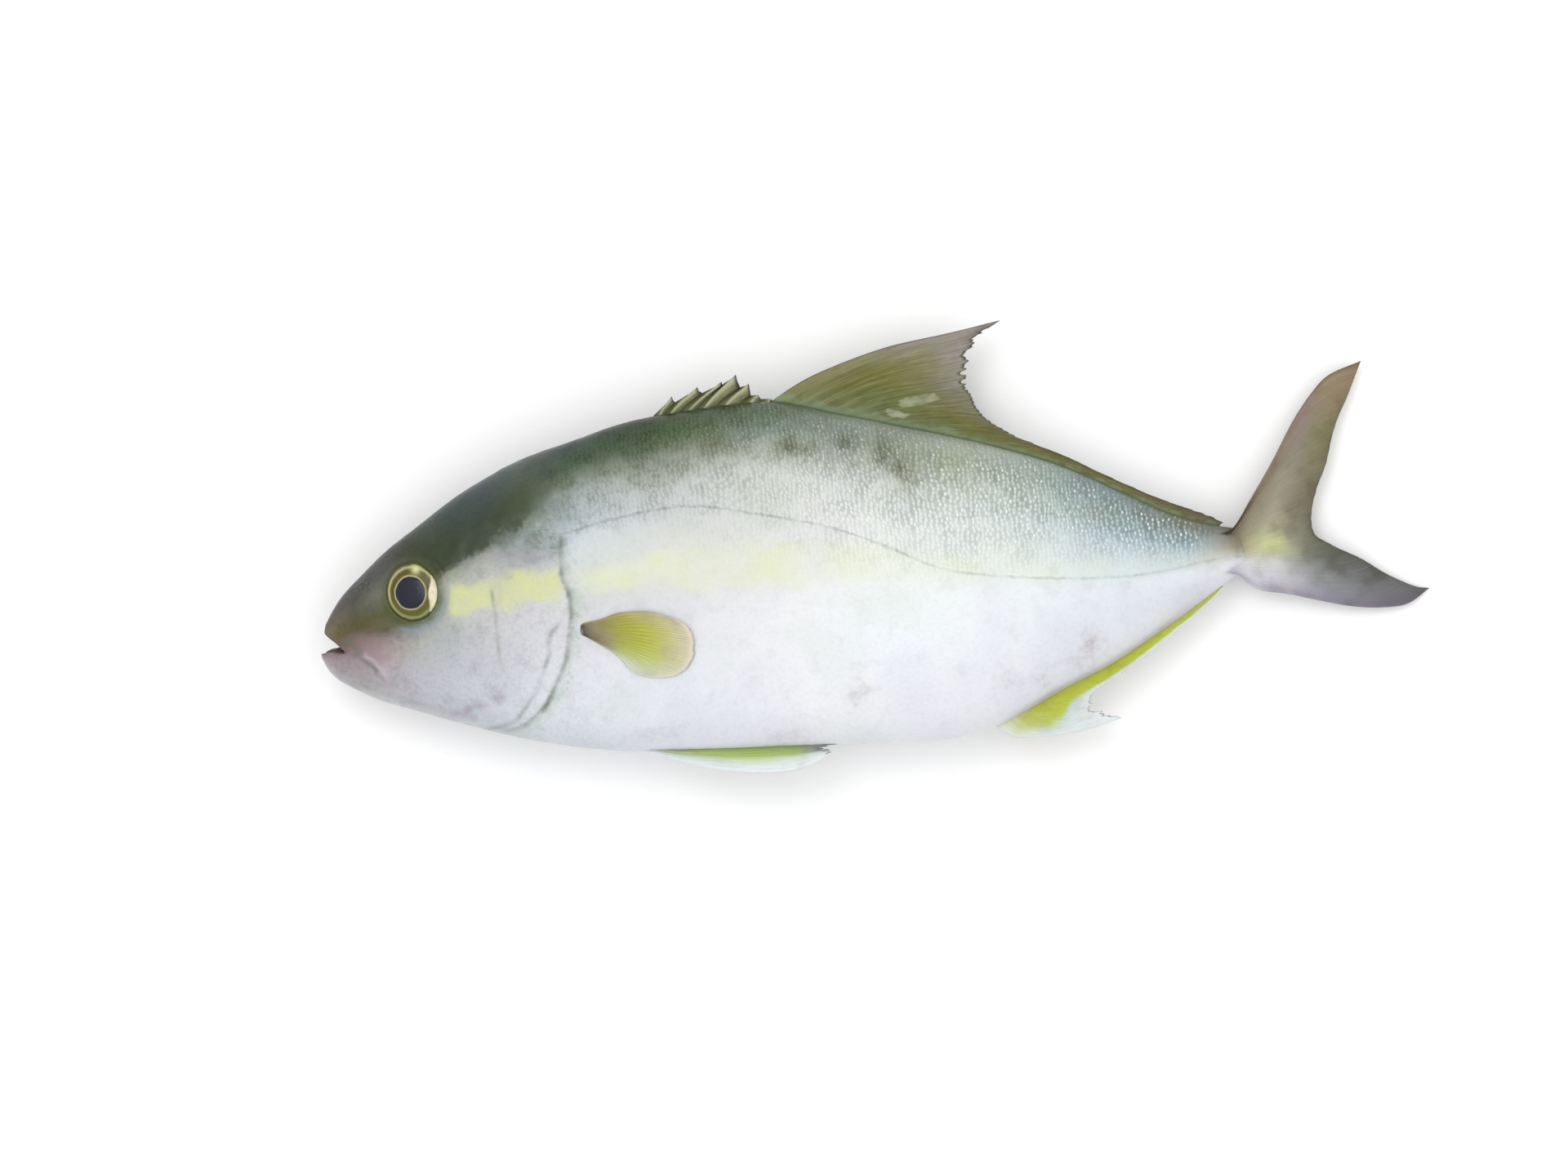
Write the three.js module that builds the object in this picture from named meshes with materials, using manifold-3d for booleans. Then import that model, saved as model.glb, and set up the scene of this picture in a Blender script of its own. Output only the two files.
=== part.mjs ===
// A whole raw fish of the amberjack kind, lying on its right side with its left side up.
// Millimetres. +X runs from snout to tail, +Y from belly to back and +Z up from the surface it lies on.
// The body is one skin-covered piece; the eyes and the fins are separate pieces set against it.

import * as THREE from "three";
import { mergeVertices } from "three/addons/utils/BufferGeometryUtils.js";
import Module from "manifold-3d";

// ---- Driving sizes ------------------------------------------------------------------------------

const STANDARD_LENGTH = 320; // snout to the end of the tail stalk
const BODY_DEPTH = 121; // belly to back at the deepest place
const BODY_WIDTH = 46; // flank to flank at the thickest place, before the flesh is pressed flat
const PRESSED_FLAT = 2.2; // how far the under flank is flattened by the fish's own weight
const SNOUT_ROUNDING = 9;
const STALK_ROUNDING = 5;

const EYE_DIAMETER = 19.5;
const EYE_THICKNESS = 11;
const EYE_BULGE = 2.2; // how far the eye stands proud of the skin

const GAPE_LENGTH = 8.4; // front of the snout to the corner of the mouth
const GAPE_HEIGHT = 9; // between the jaws at the front

const GILL_SLIT_WIDTH = 1.2;
const GILL_SLIT_DEPTH = 1.6;

const FIN_SHEET = 1.2; // thickness of a fin at its free edge
const FIN_ROOT = 3.2; // thickness of an upright fin where it meets the body
const FIN_SAG = 4; // how far the tip of the soft dorsal fin sinks under its own weight
const SPINY_DORSAL_HEIGHT = 9;
const SOFT_DORSAL_HEIGHT = 45.5;
const ANAL_HEIGHT = 20;
const TAIL_SPREAD = 86.5; // lobe tip to lobe tip
const TAIL_LENGTH = 69; // end of the stalk to the tip of the longer lobe
const TAIL_ROOT = 7; // thickness of the tail fin at the stalk
const PECTORAL_LENGTH = 37.5;
const PECTORAL_DEPTH = 23.5;
const PELVIC_LENGTH = 68;
const PELVIC_DEPTH = 8.5;
const PELVIC_APART = 7; // between the middles of the two pelvic fins

const CLEARANCE = 0.3; // between any two pieces that meet

// ---- Places, as shares of the standard length and of the body's depth above its middle line --------

const EYE_AT = { along: 0.105, up: 0.109 };
const GAPE_CORNER_UP = -0.043;
const PECTORAL_AT = { along: 0.287, up: -0.042 };
const PELVIC_START = 0.336;
const SPINY_DORSAL_RUN = [0.383, 0.504];
const SOFT_DORSAL_RUN = [0.522, 0.99];
const ANAL_RUN = [0.705, 0.984];
const DROOP_START = 0.5; // the tail sinks to the surface behind here

// ---- Outlines of the body, as [share of the standard length, share of depth or of half width] ------

const BACK_LINE = [
  [0, 0.045], [0.011, 0.079], [0.024, 0.117], [0.049, 0.177], [0.08, 0.241], [0.107, 0.288],
  [0.146, 0.352], [0.183, 0.405], [0.221, 0.45], [0.295, 0.503], [0.368, 0.544], [0.441, 0.557],
  [0.48, 0.56], [0.513, 0.556], [0.548, 0.532], [0.587, 0.498], [0.661, 0.439], [0.736, 0.375],
  [0.825, 0.282], [0.893, 0.179], [0.932, 0.121], [0.972, 0.077], [1, 0.057],
];
const BELLY_LINE = [
  [0, -0.12], [0.022, -0.131], [0.052, -0.179], [0.104, -0.236], [0.173, -0.307], [0.243, -0.365],
  [0.313, -0.403], [0.393, -0.424], [0.482, -0.44], [0.562, -0.454], [0.64, -0.467], [0.68, -0.468],
  [0.708, -0.459], [0.734, -0.437], [0.797, -0.36], [0.865, -0.283], [0.932, -0.188], [0.98, -0.118],
  [1, -0.089],
];
const WIDEST_LINE = [[0, -0.01], [0.15, 0.03], [0.35, 0.045], [0.65, 0.02], [1, -0.016]];
const HALF_WIDTH = [
  [0, 0.28], [0.025, 0.38], [0.0625, 0.52], [0.105, 0.66], [0.156, 0.8], [0.22, 0.9], [0.28, 0.96],
  [0.375, 1], [0.47, 0.985], [0.56, 0.92], [0.656, 0.8], [0.75, 0.64], [0.84, 0.46], [0.92, 0.3],
  [0.97, 0.22], [1, 0.2],
];
const GILL_OPENING = [
  [0.271, 0.222], [0.27, 0.123], [0.273, 0.069], [0.275, 0.022], [0.273, -0.018], [0.268, -0.079],
  [0.261, -0.138], [0.249, -0.197], [0.235, -0.25], [0.22, -0.282],
];
const SECTION_FULLNESS = 0.86; // under 1, a section across the body is fuller than an ellipse
const END_BLUNTNESS = 2.6; // 2 gives a round snout, and more a blunter one

// ---- Small tools --------------------------------------------------------------------------------

const { clamp, lerp } = THREE.MathUtils;
const wasm = await Module();
wasm.setup();

/** A smooth curve through [x, y] points, as a function that gives y at x. */
function through(points) {
  const spline = new THREE.CubicInterpolant(
    points.map((p) => p[0]),
    points.map((p) => p[1]),
    1,
  );
  return (x) => spline.evaluate(clamp(x, points[0][0], points.at(-1)[0]))[0];
}

/** A smooth plane curve through [along, out] points. */
const curve = (points) => new THREE.SplineCurve(points.map((p) => new THREE.Vector2(...p)));

/** A closed geometry as a solid that can be cut. */
function solidOf(geometry) {
  const bare = geometry.clone();
  bare.deleteAttribute("normal");
  bare.deleteAttribute("uv");
  const { attributes, index } = mergeVertices(bare, 1e-4);
  return new wasm.Manifold(
    new wasm.Mesh({
      numProp: 3,
      vertProperties: new Float32Array(attributes.position.array),
      triVerts: new Uint32Array(index.array),
    }),
  );
}

/** A solid back as a geometry. */
function geometryOf(solid) {
  const mesh = solid.getMesh();
  return new THREE.BufferGeometry()
    .setAttribute("position", new THREE.BufferAttribute(mesh.vertProperties, 3))
    .setIndex(new THREE.BufferAttribute(mesh.triVerts, 1));
}

/** Moves each vertex of a geometry to where place(vertex) says. */
function reshaped(geometry, place) {
  const positions = geometry.attributes.position;
  const vertex = new THREE.Vector3();
  for (let i = 0; i < positions.count; i++) {
    vertex.fromBufferAttribute(positions, i);
    positions.setXYZ(i, ...place(vertex));
  }
  return geometry;
}

// ---- The body's surface -------------------------------------------------------------------------

const backShare = through(BACK_LINE);
const bellyShare = through(BELLY_LINE);
const widestShare = through(WIDEST_LINE);
const widthShare = through(HALF_WIDTH);

const backY = (x) => BODY_DEPTH * backShare(x / STANDARD_LENGTH);
const bellyY = (x) => BODY_DEPTH * bellyShare(x / STANDARD_LENGTH);
const widestY = (x) => BODY_DEPTH * widestShare(x / STANDARD_LENGTH);

/** 1 along the trunk, falling to 0 at the snout and at the end of the tail stalk. */
function endRounding(x) {
  const front = clamp(1 - x / SNOUT_ROUNDING, 0, 1);
  const rear = clamp(1 - (STANDARD_LENGTH - x) / STALK_ROUNDING, 0, 1);
  return (1 - front ** END_BLUNTNESS) ** (1 / END_BLUNTNESS) * Math.sqrt(1 - rear * rear);
}

const halfWidth = (x) => (BODY_WIDTH / 2) * widthShare(x / STANDARD_LENGTH) * endRounding(x);

const LIE_HEIGHT = BODY_WIDTH / 2 - PRESSED_FLAT;

/** Height of the fish's middle plane: level along head and trunk, then sinking to the tail's tips. */
function middleZ(x) {
  const start = DROOP_START * STANDARD_LENGTH;
  const share = Math.max(0, (x - start) / (STANDARD_LENGTH + TAIL_LENGTH - start));
  return LIE_HEIGHT - (LIE_HEIGHT - FIN_SHEET / 2) * share * share;
}

/** How far the flank stands out from the middle plane at a place on the fish's side. */
function flankOut(x, y) {
  const level = widestY(x);
  const reach = (y > level ? backY(x) - level : level - bellyY(x)) * endRounding(x);
  const share = Math.min(1, Math.abs(y - level) / reach);
  return halfWidth(x) * (1 - share * share) ** (SECTION_FULLNESS / 2);
}

/** A point on the skin or lifted off it: side 1 is the upper, left flank and side -1 the lower one. */
function skinPoint(x, y, side, lift = 0) {
  const z = middleZ(x) + side * (flankOut(x, y) + lift);
  return new THREE.Vector3(x, y, Math.max(0, z));
}

/** The outward direction of the skin at a place on the fish's side. */
function skinNormal(x, y, side) {
  const step = 2;
  const along = skinPoint(x + step, y, side).sub(skinPoint(x - step, y, side));
  const across = skinPoint(x, y + step, side).sub(skinPoint(x, y - step, side));
  return along.cross(across).normalize().multiplyScalar(side);
}

const BODY_RINGS = 54;
const BODY_SIDES = 40;

/** The whole body: a ball with its poles at the snout and the end of the tail stalk, drawn to shape. */
function bodyShell() {
  return reshaped(new THREE.SphereGeometry(1, BODY_SIDES, BODY_RINGS), (v) => {
    const x = (STANDARD_LENGTH * (1 - clamp(v.y, -1, 1))) / 2;
    const level = widestY(x);
    const around = Math.hypot(v.x, v.z) || 1;
    const up = v.x / around;
    const reach = (up > 0 ? backY(x) - level : level - bellyY(x)) * endRounding(x);
    const out = halfWidth(x) * (Math.abs(v.z) / around) ** SECTION_FULLNESS;
    return [x, level + reach * up, Math.max(0, middleZ(x) + Math.sign(v.z) * out)];
  });
}

/** The wedge of air between the parted jaws. */
function mouthGape() {
  const corner = BODY_DEPTH * GAPE_CORNER_UP;
  const lowerLip = corner + GAPE_HEIGHT / 4;
  const air = new THREE.Shape()
    .moveTo(GAPE_LENGTH, corner)
    .lineTo(-GAPE_LENGTH, lowerLip + GAPE_HEIGHT)
    .lineTo(-GAPE_LENGTH, lowerLip);
  return new THREE.ExtrudeGeometry(air, { depth: BODY_WIDTH, bevelEnabled: false });
}

/** The slot behind one gill cover: a strip that follows the skin and cuts into it. */
function gillSlot(side) {
  const path = new THREE.CatmullRomCurve3(
    GILL_OPENING.map(([along, up]) => skinPoint(along * STANDARD_LENGTH, up * BODY_DEPTH, side)),
  );
  return reshaped(new THREE.BoxGeometry(1, 1, 1, 14, 1, 1), (v) => {
    const at = path.getPointAt(v.x + 0.5);
    const out = skinNormal(at.x, at.y, side);
    const rearward = out.clone().cross(path.getTangentAt(v.x + 0.5)).normalize();
    at.addScaledVector(rearward, v.y * GILL_SLIT_WIDTH);
    return at.addScaledVector(out, v.z * 2 * GILL_SLIT_DEPTH);
  });
}

// ---- Eyes ---------------------------------------------------------------------------------------

/** One eye, or the room for it: a flattened ball set into the side of the head. */
function eyeball(side, grow = 0) {
  const x = EYE_AT.along * STANDARD_LENGTH;
  const y = EYE_AT.up * BODY_DEPTH;
  const out = skinNormal(x, y, side);
  const centre = skinPoint(x, y, side).addScaledVector(out, EYE_BULGE - EYE_THICKNESS / 2);
  const turn = new THREE.Quaternion().setFromUnitVectors(new THREE.Vector3(0, 1, 0), out);
  return new THREE.SphereGeometry(1, 24, 12)
    .scale(EYE_DIAMETER / 2 + grow, EYE_THICKNESS / 2 + grow, EYE_DIAMETER / 2 + grow)
    .applyQuaternion(turn)
    .translate(...centre);
}

// ---- Fins ---------------------------------------------------------------------------------------

const BOW_FADE = 3; // how fast the bow of a fin's front and rear edges dies away between them

/** A place in a fin whose rays run from its root to its margin between two curved edge rays. */
function patchPoint({ root, margin, leading, trailing }, u, v) {
  const frontRay = root.getPoint(0).lerp(margin.getPoint(0), v);
  const rearRay = root.getPoint(1).lerp(margin.getPoint(1), v);
  return root
    .getPoint(u)
    .lerp(margin.getPoint(u), v)
    .addScaledVector(leading.getPoint(v).sub(frontRay), (1 - u) ** BOW_FADE)
    .addScaledVector(trailing.getPoint(v).sub(rearRay), u ** BOW_FADE);
}

/**
 * A fin: a plate of columns along its root and rows from root to free edge, put in place by place().
 * A fin that grows downwards takes its columns the other way round, which keeps its faces outwards.
 */
function finPlate(columns, rows, place, way = 1) {
  return reshaped(new THREE.BoxGeometry(1, 1, 1, columns, rows, 1), (v) =>
    place(0.5 + way * v.x, 0.5 + v.y, 2 * v.z),
  );
}

/** Half the thickness of a fin, which thins over the first third from its root to its free edge. */
const halfThickness = (v, root) => lerp(root, FIN_SHEET, Math.min(1, 3 * v)) / 2;

/** A fin along the back or the belly; pointAt(u, v) is in shares of its run and of its height. */
function medianFin({ run, height, edgeY, outward, columns, rows, pointAt }) {
  const place = (u, v, side) => {
    const at = pointAt(u, v);
    const x = STANDARD_LENGTH * lerp(...run, at.x);
    const stands = height * at.y;
    const sag = FIN_SAG * (stands / SOFT_DORSAL_HEIGHT) ** 2;
    return [
      x,
      edgeY(x) + outward * (CLEARANCE + stands),
      middleZ(x) - sag + side * halfThickness(v, FIN_ROOT),
    ];
  };
  return finPlate(columns, rows, place, outward);
}

const SPINE_TIPS = [0.54, 0.77, 0.83, 1, 0.64, 0.27, 0.14]; // shares of the tallest spine
const SPINE_LEAN = 0.12; // how far a tip leans back past its root, as a share of the fin's run
const SKIN_BETWEEN = 0.62; // height of the skin between two spines, as a share of the shorter one
const SPINY_ENDS = 0.05; // height of the skin before the first spine and after the last

function spinyDorsalFin() {
  const columns = 2 * SPINE_TIPS.length;
  const heightAt = (u) => {
    const column = Math.round(u * columns);
    if (column % 2) return SPINE_TIPS[(column - 1) / 2];
    if (column === 0 || column === columns) return SPINY_ENDS;
    return SKIN_BETWEEN * Math.min(SPINE_TIPS[column / 2 - 1], SPINE_TIPS[column / 2]);
  };
  return medianFin({
    run: SPINY_DORSAL_RUN,
    height: SPINY_DORSAL_HEIGHT,
    edgeY: backY,
    outward: 1,
    columns,
    rows: 3,
    pointAt: (u, v) => new THREE.Vector2(lerp(u, v, SPINE_LEAN), v * heightAt(u)),
  });
}

const SOFT_DORSAL = {
  root: curve([[0, 0], [0.985, 0]]),
  leading: curve([[0, 0], [0.13, 0.31], [0.274, 0.6], [0.417, 0.83], [0.528, 1]]),
  margin: curve([
    [0.528, 1], [0.47, 0.81], [0.443, 0.56], [0.445, 0.4], [0.478, 0.22], [0.574, 0.11],
    [0.72, 0.075], [0.88, 0.07], [1, 0.05],
  ]),
  trailing: curve([[0.985, 0], [1, 0.05]]),
};

function softDorsalFin() {
  return medianFin({
    run: SOFT_DORSAL_RUN,
    height: SOFT_DORSAL_HEIGHT,
    edgeY: backY,
    outward: 1,
    columns: 26,
    rows: 5,
    pointAt: (u, v) => patchPoint(SOFT_DORSAL, u, v),
  });
}

const ANAL = {
  root: curve([[0, 0], [0.98, 0]]),
  leading: curve([[0, 0], [0.16, 0.42], [0.29, 0.71], [0.44, 0.93], [0.54, 1]]),
  margin: curve([
    [0.54, 1], [0.46, 0.62], [0.44, 0.36], [0.49, 0.3], [0.68, 0.26], [0.87, 0.17], [1, 0.1],
  ]),
  trailing: curve([[0.98, 0], [1, 0.1]]),
};

function analFin() {
  return medianFin({
    run: ANAL_RUN,
    height: ANAL_HEIGHT,
    edgeY: bellyY,
    outward: -1,
    columns: 22,
    rows: 4,
    pointAt: (u, v) => patchPoint(ANAL, u, v),
  });
}

const STALK_TOP = backY(STANDARD_LENGTH);
const STALK_BOTTOM = bellyY(STANDARD_LENGTH);
const STALK_COVER = 0.92; // how much of the stalk's depth the tail fin's root takes
const TAIL_ROOT_UP = (STALK_COVER * (STALK_TOP - STALK_BOTTOM)) / 2 / TAIL_SPREAD;

/** The tail fin, in shares of its length and spread from the middle of the stalk's end. */
const TAIL = {
  root: curve([[0, TAIL_ROOT_UP], [0, -TAIL_ROOT_UP]]),
  leading: curve([
    [0, TAIL_ROOT_UP], [0.13, 0.204], [0.26, 0.346], [0.39, 0.502], [0.5, 0.607], [0.6, 0.673],
    [0.77, 0.716],
  ]),
  margin: curve([
    [0.77, 0.716], [0.68, 0.578], [0.6, 0.465], [0.53, 0.313], [0.45, 0.175], [0.43, 0.052],
    [0.52, -0.014], [0.66, -0.081], [0.79, -0.156], [0.92, -0.213], [1, -0.228],
  ]),
  trailing: curve([
    [0, -TAIL_ROOT_UP], [0.12, -0.161], [0.28, -0.194], [0.45, -0.237], [0.6, -0.27],
    [0.74, -0.286], [0.88, -0.282], [1, -0.228],
  ]),
};

function tailFin() {
  return finPlate(22, 9, (u, v, side) => {
    const at = patchPoint(TAIL, u, v);
    const x = STANDARD_LENGTH + CLEARANCE + at.x * (TAIL_LENGTH - CLEARANCE);
    const y = (STALK_TOP + STALK_BOTTOM) / 2 + at.y * TAIL_SPREAD;
    return [x, y, middleZ(x) + side * halfThickness(v, TAIL_ROOT)];
  });
}

/** A pectoral fin, in shares of its length and depth from its root on the shoulder. */
const PECTORAL = {
  root: curve([[0, 0], [0.03, -0.13]]),
  leading: curve([[0, 0], [0.2, 0.13], [0.42, 0.15], [0.62, 0.13], [0.8, 0.06]]),
  margin: curve([[0.8, 0.06], [0.96, -0.17], [1, -0.43], [0.93, -0.72], [0.78, -0.85], [0.6, -0.82]]),
  trailing: curve([[0.03, -0.13], [0.22, -0.35], [0.42, -0.6], [0.6, -0.82]]),
};

/** A place in a pectoral fin on the fish's side, or in the room for it, which is wider all round. */
function pectoralPoint(u, v, grow) {
  const size = new THREE.Vector2(PECTORAL_LENGTH, PECTORAL_DEPTH);
  const at = (a, b) => patchPoint(PECTORAL, clamp(a, 0, 1), clamp(b, 0, 1)).multiply(size);
  const step = 0.02;
  const across = at(u + step, v).sub(at(u - step, v)).setLength(grow * (2 * u - 1));
  const outwards = at(u, v + step).sub(at(u, v - step)).setLength(grow * (2 * v - 1));
  const place = at(u, v).add(across).add(outwards);
  return [PECTORAL_AT.along * STANDARD_LENGTH + place.x, PECTORAL_AT.up * BODY_DEPTH + place.y];
}

/** The left pectoral fin lies on the upper flank. */
function leftPectoralFin() {
  return finPlate(8, 10, (u, v, face) => {
    const [x, y] = pectoralPoint(u, v, 0);
    return skinPoint(x, y, 1, CLEARANCE + ((1 + face) * FIN_SHEET) / 2);
  });
}

/** The right pectoral fin, or the room for it: under the fish, pressed in flush with the flank. */
function rightPectoralFin(grow = 0) {
  return finPlate(8, 10, (u, v, face) => {
    const [x, y] = pectoralPoint(u, v, grow);
    return [x, y, skinPoint(x, y, -1).z + FIN_SHEET / 2 + face * (FIN_SHEET / 2 + grow)];
  });
}

/** A pelvic fin, in shares of its length and depth, folded back along the belly. */
const PELVIC = {
  root: curve([[0, 0.15], [0.02, 0]]),
  leading: curve([[0, 0.15], [0.25, 0.6], [0.45, 0.9], [0.65, 1], [0.83, 0.85], [0.97, 0.35]]),
  margin: curve([[0.97, 0.35], [0.95, 0.24], [1, 0.12], [0.99, 0]]),
  trailing: curve([[0.02, 0], [0.25, 0], [0.5, 0], [0.75, 0], [0.99, 0]]),
};

function pelvicFin(side) {
  const place = (u, v, face) => {
    const at = patchPoint(PELVIC, u, v);
    const x = PELVIC_START * STANDARD_LENGTH + at.x * PELVIC_LENGTH;
    const y = bellyY(x) - CLEARANCE - at.y * PELVIC_DEPTH;
    return [x, y, middleZ(x) + (side * PELVIC_APART) / 2 + (face * FIN_SHEET) / 2];
  };
  return finPlate(6, 12, place, -1);
}

// ---- The fish -----------------------------------------------------------------------------------

const skin = { color: 0xd5dad6, roughness: 0.35, metalness: 0.1 };
const olive = { color: 0x8f8c5a, roughness: 0.45, metalness: 0 };
const yellow = { color: 0xc3c648, roughness: 0.45, metalness: 0 };
const dusky = { color: 0x8d887c, roughness: 0.45, metalness: 0 };
const dark = { color: 0x1d2236, roughness: 0.1, metalness: 0 };

const fish = new THREE.Group();
const lying = new THREE.Group();
fish.add(lying);

function add(name, geometry, look) {
  const mesh = new THREE.Mesh(geometry, new THREE.MeshStandardMaterial(look));
  mesh.name = name;
  lying.add(mesh);
}

const cuts = [
  mouthGape(),
  gillSlot(1),
  gillSlot(-1),
  eyeball(1, CLEARANCE),
  eyeball(-1, CLEARANCE),
  rightPectoralFin(CLEARANCE),
];
const body = cuts.reduce((solid, cut) => solid.subtract(solidOf(cut)), solidOf(bodyShell()));

add("body", geometryOf(body), skin);
add("left_eye", eyeball(1), dark);
add("right_eye", eyeball(-1), dark);
add("spiny_dorsal_fin", spinyDorsalFin(), olive);
add("soft_dorsal_fin", softDorsalFin(), olive);
add("anal_fin", analFin(), yellow);
add("tail_fin", tailFin(), dusky);
add("left_pectoral_fin", leftPectoralFin(), yellow);
add("right_pectoral_fin", rightPectoralFin(), yellow);
add("left_pelvic_fin", pelvicFin(1), yellow);
add("right_pelvic_fin", pelvicFin(-1), yellow);

// The origin is below the middle of the whole fish, on the surface it lies on.
const bounds = new THREE.Box3().setFromObject(lying);
const middle = bounds.getCenter(new THREE.Vector3());
lying.position.set(-middle.x, -middle.y, -bounds.min.z);

export default fish;
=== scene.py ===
import functools
import math

import bmesh
import bpy
import numpy as np
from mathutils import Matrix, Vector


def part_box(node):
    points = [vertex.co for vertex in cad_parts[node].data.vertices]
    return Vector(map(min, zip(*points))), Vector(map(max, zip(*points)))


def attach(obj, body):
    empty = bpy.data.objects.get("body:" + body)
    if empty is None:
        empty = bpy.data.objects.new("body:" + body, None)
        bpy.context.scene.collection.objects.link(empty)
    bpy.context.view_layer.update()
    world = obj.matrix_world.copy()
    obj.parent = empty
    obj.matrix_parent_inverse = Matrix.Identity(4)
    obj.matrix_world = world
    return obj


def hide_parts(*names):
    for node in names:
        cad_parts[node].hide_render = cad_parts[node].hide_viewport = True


# A whole raw fish of the amberjack kind, lying on a pale table with its left side up.
# Lengths are millimetres in the fish's own axes: x from snout to tail, y from belly to back, both
# measured from the middle of the snout, and z up from the table. Lines on the fish are given as shares
# of the body's length and depth. Only the mesh maker turns them into metres in the frame's axes.

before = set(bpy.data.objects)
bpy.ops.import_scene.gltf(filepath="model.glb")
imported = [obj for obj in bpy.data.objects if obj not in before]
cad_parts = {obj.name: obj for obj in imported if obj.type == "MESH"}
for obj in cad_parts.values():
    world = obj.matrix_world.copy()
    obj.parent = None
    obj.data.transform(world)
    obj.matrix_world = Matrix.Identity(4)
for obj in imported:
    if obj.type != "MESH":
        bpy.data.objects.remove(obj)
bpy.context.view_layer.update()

# ---- Sizes worked out from the frame --------------------------------------------------------------

MM = 0.001
BACK_TOP, BELLY_BOTTOM = 0.56, -0.468  # shares of the depth at the deepest places of back and belly
PRESSED_FLAT = 2.2  # how far the under flank is flattened by the fish's weight

body_low, body_high = (np.array(corner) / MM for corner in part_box("body"))
LENGTH = body_high[0] - body_low[0]
DEPTH = (body_high[1] - body_low[1]) / (BACK_TOP - BELLY_BOTTOM)
HALF_WIDTH = (body_high[2] + PRESSED_FLAT) / 2
LIE_HEIGHT = HALF_WIDTH - PRESSED_FLAT
ORIGIN = np.array([body_low[0], body_high[1] - BACK_TOP * DEPTH, 0])


def fish_box(node):
    """A CAD node's lowest and highest corners in the fish's own millimetres."""
    return [np.array(corner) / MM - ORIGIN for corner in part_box(node)]


FISH_END = fish_box("tail_fin")[1][0]

# ---- Curves ---------------------------------------------------------------------------------------


def smooth(points, stretch=np.asarray):
    """A smooth curve through (x, y) points as a function of x; stretch evens out crowded points."""
    xs, ys = np.array(points, float).T
    ts = stretch(xs)
    slopes = np.gradient(ys, ts)

    def at(x):
        t = stretch(np.clip(x, xs[0], xs[-1]))
        i = np.clip(np.searchsorted(ts, t, side="right") - 1, 0, len(ts) - 2)
        step = ts[i + 1] - ts[i]
        s = (t - ts[i]) / step
        ends = (1 + 2 * s) * (1 - s) ** 2 * ys[i] + s * s * (3 - 2 * s) * ys[i + 1]
        bends = s * (1 - s) ** 2 * slopes[i] - s * s * (1 - s) * slopes[i + 1]
        return ends + step * bends

    return at


def curve(points):
    """A smooth plane curve through points, as a function of the share of the way along it."""
    shares = np.linspace(0, 1, len(points))
    coordinates = [smooth(list(zip(shares, values))) for values in np.array(points, float).T]
    return lambda t: np.stack([value(t) for value in coordinates], -1)


def ramp(x, start, end):
    """0 before start and 1 past end, with a smooth rise between."""
    s = np.clip((x - start) / (end - start), 0, 1)
    return s * s * (3 - 2 * s)


def bump(x, middle, width):
    """A smooth hill of height 1."""
    return np.exp(-(((x - middle) / width) ** 2))


def from_line(line, x, y, pieces=90):
    """Signed distance to a line, positive on the left of its run, and the share of it passed there."""
    path = curve(line)(np.linspace(0, 1, pieces + 1)) * (LENGTH, DEPTH)
    nearest = np.full(x.shape, np.inf)
    passed = np.zeros(x.shape)
    for i, (start, end) in enumerate(zip(path[:-1], path[1:])):
        run = end - start
        across, up = x - start[0], y - start[1]
        t = np.clip((across * run[0] + up * run[1]) / (run @ run), 0, 1)
        away = np.hypot(across - t * run[0], up - t * run[1])
        closer = away < np.abs(nearest)
        side = np.where(run[0] * up - run[1] * across < 0, -1, 1)
        nearest = np.where(closer, away * side, nearest)
        passed = np.where(closer, (i + t) / pieces, passed)
    return nearest, passed


# ---- Outlines of the body, in shares of its length and depth ---------------------------------------

SNOUT_TIP = -0.002  # the lower jaw's tip, which leads the fish

BACK_LINE = [
    (-0.002, -0.033), (0.0015, 0.012), (0.0045, 0.042), (0.011, 0.072), (0.024, 0.117),
    (0.049, 0.177), (0.08, 0.241), (0.107, 0.288), (0.146, 0.352), (0.183, 0.405), (0.221, 0.45),
    (0.295, 0.503), (0.368, 0.544), (0.441, 0.557), (0.48, 0.56), (0.513, 0.556), (0.548, 0.532),
    (0.587, 0.498), (0.661, 0.439), (0.736, 0.375), (0.825, 0.282), (0.893, 0.179), (0.932, 0.121),
    (0.972, 0.077), (1.0, 0.057), (1.02, 0.046),
]
BELLY_LINE = [
    (-0.002, -0.033), (0.0024, -0.076), (0.0103, -0.105), (0.022, -0.13), (0.035, -0.152),
    (0.052, -0.179), (0.104, -0.236), (0.173, -0.307), (0.243, -0.365), (0.313, -0.403),
    (0.393, -0.424), (0.482, -0.44), (0.562, -0.454), (0.64, -0.467), (0.68, -0.468),
    (0.708, -0.459), (0.734, -0.438), (0.797, -0.366), (0.865, -0.293), (0.932, -0.198),
    (0.98, -0.123), (1.0, -0.09), (1.02, -0.072),
]
WIDEST_LINE = [
    (-0.002, -0.033), (0.008, -0.038), (0.026, -0.041), (0.06, -0.02), (0.15, 0.03), (0.35, 0.045),
    (0.65, 0.02), (1.02, -0.016),
]
WIDTH_LINE = [
    (-0.002, 0), (0.0056, 0.17), (0.0156, 0.313), (0.025, 0.37), (0.0625, 0.53), (0.105, 0.66),
    (0.156, 0.8), (0.22, 0.9), (0.28, 0.96), (0.375, 1), (0.47, 0.985), (0.56, 0.92), (0.656, 0.8),
    (0.75, 0.64), (0.84, 0.46), (0.92, 0.3), (0.965, 0.21), (0.99, 0.13), (1.005, 0.08), (1.02, 0.05),
]
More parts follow.
